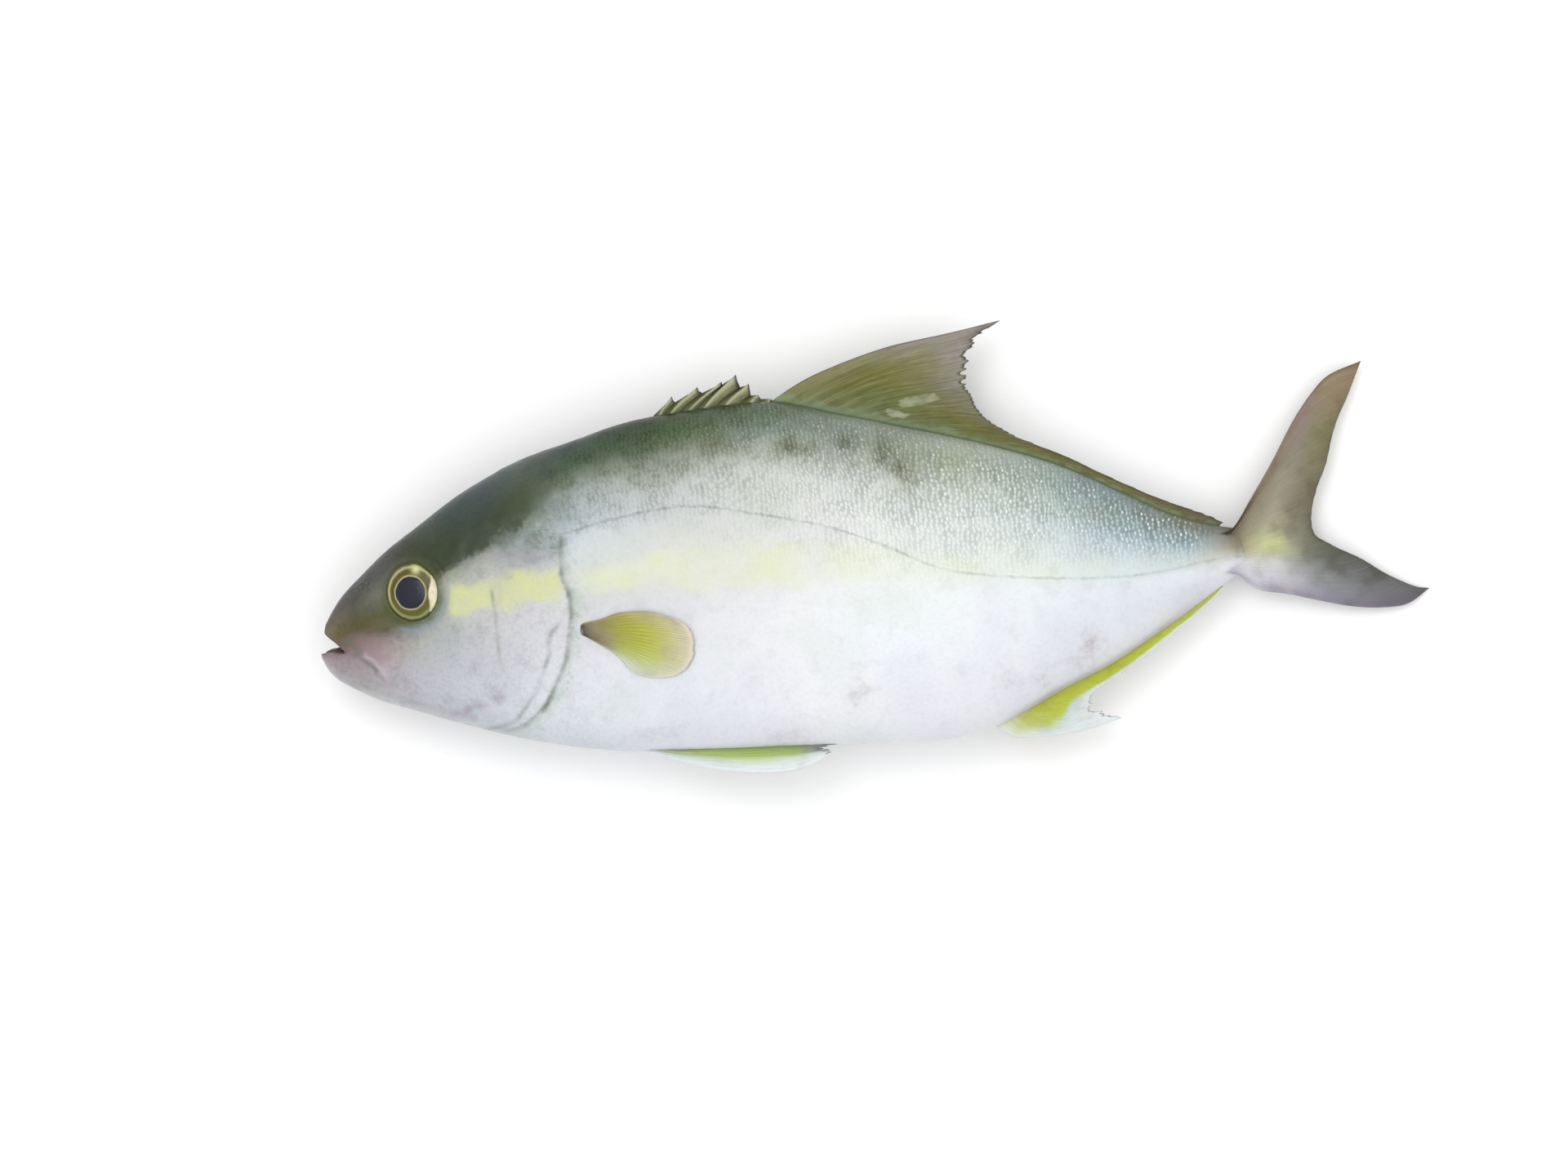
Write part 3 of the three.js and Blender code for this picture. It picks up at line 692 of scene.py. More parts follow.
def rays_of(places, out, count, branchings=()):
    """Ridges of the fin rays, 1 on a ray and 0 between; past each branching every ray forks in two."""
    ridges = np.cos(math.pi * count * places) ** 2
    for times, start in enumerate(branchings, 1):
        forked = np.cos(2**times * math.pi * count * places) ** 2
        ridges = ridges + (forked - ridges) * ramp(out, start, start + 0.2)
    return ridges


def ragged(ray, count, depth, seed, notch):
    """How far out the free edge stands: torn a little between the rays, and each ray its own length."""
    random = np.random.default_rng(seed)
    lengths = 1.02 - depth * random.random(count + 1) ** 2
    lengths[:2] = 1.02
    own = np.interp(ray * count, np.arange(count + 1), lengths)
    return own - notch * (1 - np.abs(np.cos(math.pi * count * ray))) * ramp(ray, 0, 0.05)


def close_fin(bm, name, node, material):
    bmesh.ops.remove_doubles(bm, verts=bm.verts, dist=0.0005)
    bmesh.ops.recalc_face_normals(bm, faces=bm.faces)
    return finished_mesh(name, bm, node, material)


def thickness(ray, out, root, edge, ridges):
    """Half the thickness of a fin: thin membrane, stouter rays, and sharp edges all round."""
    web = root + (edge - root) * np.clip(2.2 * out, 0, 1)
    rim = np.sqrt(np.clip(np.minimum(ray, 1 - ray) * 25, 0, 1) * np.clip((1 - out) * 14, 0, 1))
    sealed = np.clip(out * 40, 0, 1)
    return web * (0.72 + 0.28 * ridges) * rim * sealed


SOFT_DORSAL = {
    "root": [(share, 0) for share in (0, 0.06, 0.12, 0.185, 0.294, 0.45, 0.62, 0.8, 0.985)],
    "leading": [(0, 0), (0.135, 0.315), (0.282, 0.585), (0.43, 0.8), (0.55, 1)],
    "margin": [
        (0.55, 1), (0.493, 0.81), (0.463, 0.56), (0.462, 0.4), (0.488, 0.22), (0.578, 0.115),
        (0.72, 0.09), (0.88, 0.09), (0.96, 0.075), (1, 0.03),
    ],
    "trailing": [(0.985, 0), (1, 0.03)],
}
ANAL = {
    "root": [(share, 0) for share in (0, 0.14, 0.26, 0.36, 0.55, 0.78, 0.98)],
    "leading": [(0, 0), (0.09, 0.37), (0.19, 0.57), (0.274, 0.735), (0.395, 0.894), (0.53, 1)],
    "margin": [
        (0.53, 1), (0.443, 0.64), (0.418, 0.42), (0.45, 0.28), (0.573, 0.26), (0.67, 0.235),
        (0.807, 0.175), (0.93, 0.125), (1, 0.04),
    ],
    "trailing": [(0.98, 0), (1, 0.04)],
}
SHEATH = 3.2  # how far the body's skin climbs up the soft dorsal fin
# Scars on the soft dorsal fin: place in shares of the body, half length and height in mm, turn in degrees
SCARS = [(0.677, 0.515, 7, 1.7, 6), (0.652, 0.482, 4, 1.1, -18)]


def scar_marks(x, y):
    """1 on the torn scars of the soft dorsal fin."""
    scars = np.zeros(x.shape)
    for along, up, long, tall, turn in SCARS:
        slant = math.radians(turn)
        across, rise = x - along * LENGTH, y - up * DEPTH
        along_it = across * math.cos(slant) + rise * math.sin(slant)
        over_it = rise * math.cos(slant) - across * math.sin(slant)
        edge = 1 - (along_it / long) ** 4 - (over_it / tall) ** 4 + 0.5 * wander(x, y, 53, 1.5)
        scars = np.maximum(scars, ramp(edge, 0, 0.4))
    return scars


FIN_OVERRUN = 2  # a fin's thin rear end runs on this far past its CAD solid's blunt one
SAG_REACH = 45.5  # mm from the body where a fin has sunk by the whole of FIN_SAG


def make_median_fin(
    name, node, material, shape, edge_y, outward, rays, tears, seed, forward=0, reach_out=1
):
    """A fin along the back or the belly; its outline is in shares of its run and of its height.

    It starts forward mm before its CAD solid, and reach_out is its height as a share of the solid's.
    """
    low, high = fish_box(node)
    start, end = low[0] - forward, high[0] + FIN_OVERRUN
    tip = start + (end - start) * shape["margin"][0][0]
    height = reach_out * (high[1] - edge_y(tip) if outward > 0 else edge_y(tip) - low[1])
    bm, ray, out, face = fin_sleeve(rays * 10, 36)
    reach = out * (1 - (1 - ragged(ray, rays * 2, *tears)) * ramp(out, 0.5, 1))
    at = patch(shape, ray, reach)
    x = start + (end - start) * at[:, 0]
    stands = height * at[:, 1] - SUNK * (1 - out) ** 4
    ridges = rays_of(curve(shape["root"])(ray)[:, 0], out, rays, (0.3, 0.6)) * ramp(stands, 0.5, SHEATH)
    wave = 0.7 * wander(x, 3 * stands, seed, 22) * (stands / height).clip(0) * height / 30
    z = middle_z(x) - FIN_SAG * (stands.clip(0) / SAG_REACH) ** 2 + wave
    z = z + face * thickness(ray, out, 1.5, 0.42, ridges)
    y = edge_y(x) + outward * stands
    move_vertices(bm, np.stack([x, y, z], -1))
    mark_vertices(bm, ray=ray, out=out, ridge=ridges, stands=stands, scar=scar_marks(x, y))
    return close_fin(bm, name, node, material)


# Each spine's root and tip as shares of the fin's run, and its height as a share of the tallest one
SPINES = [
    (0.03, 0.17, 0.55), (0.1, 0.39, 0.72), (0.25, 0.595, 0.78), (0.38, 0.72, 0.96), (0.565, 0.82, 0.62),
    (0.8, 0.89, 0.24), (0.95, 0.997, 0.12),
]
SKIN_DIPS = [  # the skin's lowest place behind each spine's tip, in the same shares
    (0.19, 0.385), (0.426, 0.59), (0.61, 0.83), (0.744, 0.62), (0.826, 0.26), (0.907, 0.1),
]
SPINY_RUN = 42


def make_spiny_dorsal(material):
    """Seven stiff spines leaning back, with folded skin that sags between their sharp tips."""
    low, high = fish_box("spiny_dorsal_fin")
    start = low[0] + 1.2
    tallest = high[1] - back_y(start + SPINY_RUN * SPINES[3][1]) + 0.6
    bm, ray, out, face = fin_sleeve(280, 24)
    knots = [(0, 0, 0, 0.02)]
    for i, (root, tip, height) in enumerate(SPINES):
        knots.append((i + 0.7, root, tip, height))
        if i < len(SKIN_DIPS):
            dip_x, dip = SKIN_DIPS[i]
            knots.append((i + 0.95, (root + SPINES[i + 1][0]) / 2, dip_x, dip))
    knots.append((len(SPINES), 1, 1, 0.03))
    at, roots, tips, heights = np.array(knots, float).T
    place = ray * len(SPINES)
    root = np.interp(place, at, roots)
    tip = np.interp(place, at, tips)
    # The skin bellies up a little between a dip and the next tip
    belly = 0.06 * np.sin(math.pi * np.clip((place + 0.05) % 1 / 0.75, 0, 1)) * ramp(place, 0, 0.5)
    height = np.interp(place, at, heights) + belly * np.interp(place, at, heights)
    from_spine = (place + 0.3) % 1 - np.rint((place + 0.3) % 1)
    height = height * (0.93 + 0.16 * bump(from_spine, 0, 0.035))
    spine = bump(from_spine, 0, 0.08)
    x = start + SPINY_RUN * (root + (tip - root) * out)
    stands = tallest * height * out - SUNK * (1 - out) ** 4
    fold = 0.7 * np.cos(2 * math.pi * (place + 0.3)) * np.sqrt(out)
    z = middle_z(x) + fold + face * thickness(ray, out, 1.2, 0.4, spine)
    move_vertices(bm, np.stack([x, back_y(x) + stands, z], -1))
    mark_vertices(bm, ray=ray, out=out, ridge=spine, stands=stands, fold=fold)
    return close_fin(bm, "spiny_dorsal_sail", "spiny_dorsal_fin", material)


STALK_COVER = 0.92  # how much of the stalk's depth the tail fin's root takes
tail_low, tail_high = fish_box("tail_fin")
TAIL_LENGTH = tail_high[0] - LENGTH
TAIL_SPREAD = tail_high[1] - tail_low[1]
TAIL_ROOT_UP = STALK_COVER * (back_y(LENGTH) - belly_y(LENGTH)) / 2 / TAIL_SPREAD
TAIL_FORK = 0.1  # the tail's root runs this share of its length forward into the stalk
TAIL = {
    "root": [(-TAIL_FORK, TAIL_ROOT_UP), (-TAIL_FORK, -TAIL_ROOT_UP)],
    "leading": [
        (-TAIL_FORK, TAIL_ROOT_UP), (0.02, TAIL_ROOT_UP), (0.13, 0.204), (0.26, 0.346), (0.39, 0.502),
        (0.5, 0.607), (0.6, 0.673), (0.77, 0.716),
    ],
    "margin": [
        (0.77, 0.716), (0.68, 0.578), (0.6, 0.465), (0.53, 0.313), (0.45, 0.175), (0.43, 0.052),
        (0.52, -0.014), (0.66, -0.081), (0.79, -0.156), (0.92, -0.213), (1, -0.228),
    ],
    "trailing": [
        (-TAIL_FORK, -TAIL_ROOT_UP), (0.01, -TAIL_ROOT_UP), (0.12, -0.161), (0.28, -0.194),
        (0.45, -0.237), (0.6, -0.27), (0.74, -0.286), (0.88, -0.282), (1, -0.228),
    ],
}
TAIL_RAYS = 34


def make_tail(material):
    """The forked tail: rays fan out of the stalk, branch twice and end in a thin uneven edge."""
    bm, ray, out, face = fin_sleeve(TAIL_RAYS * 8, 70)
    reach = out * (1 - (1 - ragged(ray, TAIL_RAYS, 0.012, 21, 0.006)) * ramp(out, 0.6, 1))
    at = patch(TAIL, ray, reach)
    x = LENGTH + TAIL_LENGTH * at[:, 0]
    y = (back_y(LENGTH) + belly_y(LENGTH)) / 2 + TAIL_SPREAD * at[:, 1]
    ridges = rays_of(ray, out, TAIL_RAYS, (0.3, 0.6))
    wave = 0.5 * wander(x, y, 22, 18) * out
    z = middle_z(x) + wave + face * thickness(ray, out, 2.6, 0.45, 0.35 + 0.65 * ridges)
    move_vertices(bm, np.stack([x, y, above_table(z, 0.3)], -1))
    mark_vertices(bm, ray=ray, out=out, ridge=ridges, stands=out * TAIL_LENGTH)
    return close_fin(bm, "tail_fan", "tail_fin", material)


PECTORAL = {
    "root": [(-0.021, -0.094), (-0.05, -0.154), (-0.034, -0.222)],
    "leading": [
        (-0.021, -0.094), (0.022, -0.058), (0.182, -0.03), (0.296, 0.02), (0.411, 0.031), (0.632, 0),
        (0.848, -0.132),
    ],
    "margin": [
        (0.848, -0.132), (0.973, -0.29), (1.002, -0.579), (0.949, -0.826), (0.794, -0.975), (0.568, -0.971),
    ],
    "trailing": [
        (-0.034, -0.222), (0.051, -0.303), (0.219, -0.494), (0.32, -0.647), (0.419, -0.86), (0.568, -0.971),
    ],
}
PECTORAL_RAYS = 19
PECTORAL_LIFT = 0.6  # how far the upper fin's free edge springs off the flank


def make_pectoral(name, node, side, material):
    """A pectoral fin fanned back over the flank: the left one springs off it, the right is pressed in."""
    low, high = fish_box(node)
    size = (high[0] - low[0], high[1] - low[1])
    bm, ray, out, face = fin_sleeve(PECTORAL_RAYS * 8, 40)
    reach = out * (1 - (1 - ragged(ray, PECTORAL_RAYS, 0.012, 31, 0.005)) * ramp(out, 0.6, 1))
    at = patch(PECTORAL, ray, reach)
    x = low[0] + size[0] * at[:, 0]
    y = high[1] + size[1] * at[:, 1]
    ridges = rays_of(ray, out, PECTORAL_RAYS, (0.55,))
    half = thickness(ray, out, 1.0, 0.3, ridges)
    if side > 0:
        lift = 0.5 + PECTORAL_LIFT * ramp(out, 0.1, 1) * (1 - 0.8 * ray) - 0.9 * (1 - out) ** 16
        z = middle_z(x) + flank_out(x, y) + lift + 0.25 * wander(x, y, 32, 9) * out + face * half
    else:
        z = above_table(middle_z(x) - flank_out(x, y)) - 0.1 + face * half * 0.7
        z = np.maximum(z, 0.02)
    move_vertices(bm, np.stack([x, y, z], -1))
    mark_vertices(bm, ray=ray, out=out, ridge=ridges, stands=out * size[0])
    return close_fin(bm, name, node, material)


PELVIC = {
    "root": [(0, 0.15), (0.02, 0)],
    "leading": [(0, 0.15), (0.25, 0.6), (0.45, 0.9), (0.65, 1), (0.83, 0.85), (0.97, 0.35)],
    "margin": [(0.97, 0.35), (0.95, 0.24), (1, 0.12), (0.99, 0)],
    "trailing": [(0.02, 0), (0.25, 0), (0.5, 0), (0.75, 0), (0.99, 0)],
}
PELVIC_RAYS = 6
PELVIC_APART = 7


def make_pelvic(name, node, side, material):
    """A pelvic fin folded back along the belly, its few rays lying close together."""
    low, high = fish_box(node)
    start, run = low[0], high[0] - low[0]
    depth = (belly_y(start + 0.65 * run) - low[1])
    bm, ray, out, face = fin_sleeve(PELVIC_RAYS * 10, 50)
    reach = out * (1 - (1 - ragged(ray, PELVIC_RAYS, 0.1, 41, 0.05)) * ramp(out, 0.6, 1))
    at = patch(PELVIC, ray, reach)
    x = start + run * at[:, 0]
    ridges = rays_of(ray, out, PELVIC_RAYS, (0.3, 0.6))
    inset = 1.2 * (1 - ramp(out, 0, 0.2))
    y = belly_y(x) + inset + 0.9 - at[:, 1] * (depth + 0.9)
    z = middle_z(x) + side * (PELVIC_APART / 2 + 0.5 * at[:, 1]) + 0.25 * wander(x, 4 * y, 42, 14)
    z = z + face * thickness(ray, out, 0.9, 0.35, ridges)
    move_vertices(bm, np.stack([x, y, z], -1))
    mark_vertices(bm, ray=ray, out=out, ridge=ridges, stands=at[:, 1])
    return close_fin(bm, name, node, material)


# ---- Materials ------------------------------------------------------------------------------------


def linear(hex_colour):
    """An sRGB hex colour as linear RGBA."""
    channels = [int(hex_colour[i : i + 2], 16) / 255 for i in (1, 3, 5)]
    return [c / 12.92 if c <= 0.04045 else ((c + 0.055) / 1.055) ** 2.4 for c in channels] + [1]


def add_node(tree, kind, *values, named=None, stops=None, out=None, **settings):
    """Adds a node with its settings. Values fill its inputs in order, and named ones by name."""
    made = tree.nodes.new("ShaderNode" + kind)
    for name, value in settings.items():
        setattr(made, name, value)
    for i, (place, colour) in enumerate((stops or {}).items()):
        stop = made.color_ramp.elements[i] if i < 2 else made.color_ramp.elements.new(place)
        stop.position = place
        stop.color = linear(colour)
    inputs = [socket for socket in made.inputs if socket.enabled]
    by_name = {socket.name: socket for socket in reversed(inputs)}
    filled = list(zip(inputs, values)) + [(by_name[name], value) for name, value in (named or {}).items()]
    for socket, value in filled:
        if isinstance(value, bpy.types.NodeSocket):
            tree.links.new(value, socket)
        else:
            socket.default_value = linear(value) if isinstance(value, str) else value
    return made.outputs[out] if out else next((s for s in made.outputs if s.enabled), None)


def new_material(name, marks=()):
    """A material with an empty node tree. Returns it, a short way to add nodes, and the named marks."""
    material = bpy.data.materials.new(name)
    material.use_nodes = True
    material.node_tree.nodes.clear()
    add = functools.partial(add_node, material.node_tree)
    return material, add, {mark: add("Attribute", attribute_name=mark, out="Fac") for mark in marks}


def overlap(add, *shares):
    """Where all the shares hold at once: their product."""
    total = shares[0]
    for share in shares[1:]:
        total = add("Math", total, share, operation="MULTIPLY")
    return total


def lay(add, colour, tint, *shares, blend="MIX"):
    """Lays a tint over a colour, as far as all the shares let it."""
    return add("Mix", overlap(add, *shares), colour, tint, data_type="RGBA", blend_type=blend)


def bands(add, stations, across, along):
    """A colour that runs through each station's stops across, and blends from station to station."""
    colour, last = None, 0
    for place, stops in stations:
        tone = add("ValToRGB", across, stops=stops)
        if colour is None:
            colour = tone
        else:
            colour = lay(add, colour, tone, add("MapRange", along, last, place))
        last = place
    return colour


SHEEN, BRIGHTNESS = 0.033, 1.15  # what the wet film and the bright studio add to every colour here
DARKEST = 0.003


def bare_colour(add, seen):
    """The colour under the wet film that looks as it should once film and studio have added their light."""
    dulled = add("VectorMath", seen, (SHEEN,) * 3, operation="SUBTRACT")
    dulled = add("VectorMath", dulled, operation="SCALE", named={"Scale": 1 / BRIGHTNESS})
    return add("VectorMath", dulled, (DARKEST,) * 3, operation="MAXIMUM")


# Skin colours from the belly line (0) to the back line (1), at stations along the body
SKIN_STATIONS = [
    (0.015, {0.05: "#b3acb1", 0.3: "#9b8b91", 0.4: "#7f6f70", 0.5: "#76655a", 0.6: "#6e644d",
        0.75: "#776d57", 0.9: "#645c58", 1: "#55504e"}),
    (0.04, {0: "#b7b9b8", 0.12: "#a7a1a3", 0.3: "#a09198", 0.4: "#8b7777", 0.5: "#75675c",
        0.57: "#645a45", 0.65: "#5d5842", 0.8: "#5d5c54", 1: "#505050"}),
    (0.07, {0: "#c4c8ca", 0.12: "#b2aeb3", 0.22: "#bab3bb", 0.36: "#a89a97", 0.46: "#8d807b",
        0.52: "#64634c", 0.62: "#5c5d3e", 0.78: "#76776a", 0.9: "#60605a", 1: "#575855"}),
    (0.106, {0: "#bfbfc6", 0.2: "#bdbcc4", 0.4: "#afb1ab", 0.46: "#98999b", 0.51: "#6c6f55",
        0.62: "#62653f", 0.75: "#63654a", 0.84: "#4d5038", 1: "#484c47"}),
    (0.15, {0: "#c5cad0", 0.2: "#c8cad3", 0.4: "#bcbdc1", 0.52: "#bfc3ba", 0.63: "#b0b5a6",
        0.69: "#969a8a", 0.725: "#484e3d", 0.8: "#434a3c", 0.9: "#47524b", 1: "#49544f"}),
    (0.19, {0: "#c0c4cf", 0.1: "#d0d3dc", 0.3: "#cccdd1", 0.5: "#cccdca", 0.64: "#bfc1ba",
        0.715: "#9ea29c", 0.755: "#555f50", 0.8: "#424a3d", 0.87: "#4a534d", 1: "#4e565b"}),
    (0.235, {0: "#d3d8e2", 0.1: "#dde0e7", 0.45: "#d7d7db", 0.6: "#c9cac2", 0.67: "#a5a8aa",
        0.75: "#98a29c", 0.79: "#737d68", 0.815: "#59614b", 0.86: "#4e5640", 0.93: "#566055",
        1: "#5b645e"}),
    (0.29, {0: "#cdd2da", 0.08: "#e1e5eb", 0.3: "#e4e5ea", 0.52: "#d9ddd8", 0.68: "#ced7db",
        0.75: "#b0bbbe", 0.82: "#a3adab", 0.87: "#7c8676", 0.92: "#50604d", 1: "#444b49"}),
    (0.39, {0: "#e0e2e8", 0.12: "#e6e9f0", 0.35: "#e5e6ea", 0.6: "#dfe0dc", 0.72: "#cdcfd0",
        0.79: "#c1c5c1", 0.85: "#999f95", 0.9: "#66705e", 0.95: "#48583f", 1: "#3c4235"}),
    (0.52, {0: "#dddfe2", 0.12: "#f0f1f5", 0.38: "#f0f1f4", 0.62: "#e2e4e1", 0.78: "#dadcd8",
        0.84: "#b6b9b1", 0.9: "#84918a", 0.95: "#6a7a68", 1: "#535d42"}),
    (0.6, {0: "#e0e4ea", 0.1: "#edeef2", 0.32: "#f1f5fa", 0.55: "#f0f3ee", 0.7: "#e9ebe7",
        0.8: "#d6dad5", 0.87: "#b2b7af", 0.93: "#949d92", 1: "#8f9b8c"}),
    (0.735, {0: "#dfe1e3", 0.12: "#edeff3", 0.45: "#f2f6f8", 0.56: "#ecf2ea", 0.7: "#e3eae8",
        0.8: "#d2dad1", 0.9: "#b4bcae", 1: "#a2a99d"}),
    (0.875, {0: "#d6d7d4", 0.12: "#e3e6ea", 0.38: "#e7edf2", 0.43: "#e5ebf0", 0.47: "#dde8e8",
        0.6: "#d5e1e4", 0.72: "#c0d1d4", 0.82: "#abbebb", 0.92: "#9bafad", 1: "#849391"}),
    (0.955, {0: "#cfcfca", 0.16: "#dcdde3", 0.4: "#e8edf2", 0.47: "#dae1df", 0.58: "#cbd7d4",
        0.7: "#aec2c7", 0.82: "#97a6a5", 0.9: "#848b83", 1: "#787660"}),
    (0.99, {0: "#dbdde0", 0.3: "#e6e8eb", 0.42: "#d5d7d2", 0.52: "#c7c7bc", 0.65: "#acaca4",
        0.8: "#989994", 0.9: "#83847e", 1: "#6c6a60"}),
    (1.008, {0: "#dcdde3", 0.26: "#e2e3e8", 0.38: "#d2d1cd", 0.48: "#b5af9a", 0.6: "#979079",
        0.85: "#7d7565", 1: "#5b5548"}),
]

# Sizes of the skin's patterns, in mm. The grain stands for specks of pigment under 0.3 mm, and the
# scales for ones of about 1 mm: both are drawn coarser here, so that they show.
CLOUDS, MOTTLING, WRINKLES, GRAIN = 45.45, 6.25, 3.846, 1.4286
SCALE_ALONG, SCALE_UP = 1.7, 1.45
RELIEF = 0.15 * MM  # depth of the scales' and the fin rays' fine relief

SKIN_MARKS = (
    "along", "up", "girth", "deep", "gill", "crease", "stripe", "flank_stripe", "nape", "plate",
    "plate_shine", "plate_rim", "lid", "lateral", "eye", "moss", "vein", "bruise", "olive", "fin_root",
    "stain", "cheek_stain",
)


def wrinkled(add, colour, place, coarse, on_head, vein):
    """Lays thin dark wrinkles and veins, thickest behind the eye and at the top of the gill opening."""
    wrinkles = {"Scale": 1 / (WRINKLES * MM), "Detail": 3, "Distortion": 0.6}
    netted = add("TexNoise", place, named=wrinkles, out="Fac")
    off_vein = add("Math", add("Math", netted, 0.5, operation="SUBTRACT"), operation="ABSOLUTE")
    veined = add("Math", vein, overlap(add, on_head, 0.12))
    clouded = add("MapRange", coarse, 0.4, 0.55)
    return lay(add, colour, "#56635f", add("MapRange", off_vein, 0.02, 0.0), veined, clouded, 0.7)


def scaled(add, colour, marks, coarse, fine, patchier):
    """Lays rows of scales over the trunk: each is a short bright dash, and every second column is set
    half a scale higher. The gaps between the dashes are darkened as painted shade; on the pale side only
    that painted shade shows. Returns the colour, the gaps between scales, and the dashes as they stand
    up from the skin."""
    along, up = marks["along"], marks["up"]
    swing = add("MapRange", coarse, 0.3, 0.7, -1.2, 1.2)
    column = add("Math", overlap(add, along, LENGTH / SCALE_ALONG), swing)
    climb = add("Math", overlap(add, marks["girth"], 1 / SCALE_UP), overlap(add, column, 0.5))
    cell_at = add("CombineXYZ", column, climb)
    cells = add(
        "TexVoronoi", voronoi_dimensions="2D", named={"Vector": cell_at, "Scale": 1, "Randomness": 0.55}
    ).node.outputs
    offset = add("VectorMath", cell_at, cells["Position"], operation="SUBTRACT")
    offset = add("VectorMath", offset, (1.55, 0.8, 0), operation="MULTIPLY")
    away = add("VectorMath", offset, operation="LENGTH", out="Value")
    own_tone = add("SeparateColor", cells["Color"], out="Red")
    scale_gap_shade = add("MapRange", away, 0.3, 0.56)
    dash = add("MapRange", away, 0.46, 0.16)

    high_up = overlap(add, add("MapRange", up, 0.5, 0.72), add("MapRange", up, 1.0, 0.9, 0.25, 1))
    at_stalk = add("MapRange", along, 0.985, 0.95)
    shown = overlap(
        add, add("MapRange", along, 0.36, 0.58), high_up, add("MapRange", along, 0.4, 0.7, 0.45, 1),
        at_stalk, add("MapRange", fine, 0.32, 0.58, 0.35, 1),
    )
    # painted shade in the gaps between the scales
    colour = lay(add, colour, "#87918f", scale_gap_shade, shown, 0.42, blend="MULTIPLY")
    own_share = add("MapRange", own_tone, 0.1, 0.9, 0.1, 1)
    colour = lay(add, colour, "#eef4f3", dash, own_share, shown, 0.55)
    # A few scales of the rear flank catch the light
    fleck = overlap(add, add("MapRange", own_tone, 0.84, 0.92), add("MapRange", away, 0.3, 0.14), high_up)
    colour = lay(add, colour, "#ffffff", fleck, add("MapRange", along, 0.5, 0.72), at_stalk, 0.55)
    # On the front of the trunk the scales show only as small grey pricks, painted shade in their gaps
    in_front = overlap(
        add, add("MapRange", along, 0.56, 0.42), add("MapRange", along, 0.25, 0.31),
        add("MapRange", up, 0.66, 0.76),
    )
    colour = lay(add, colour, "#8b938e", scale_gap_shade, in_front, patchier, 0.45, blend="MULTIPLY")
    return colour, scale_gap_shade, overlap(add, dash, shown)


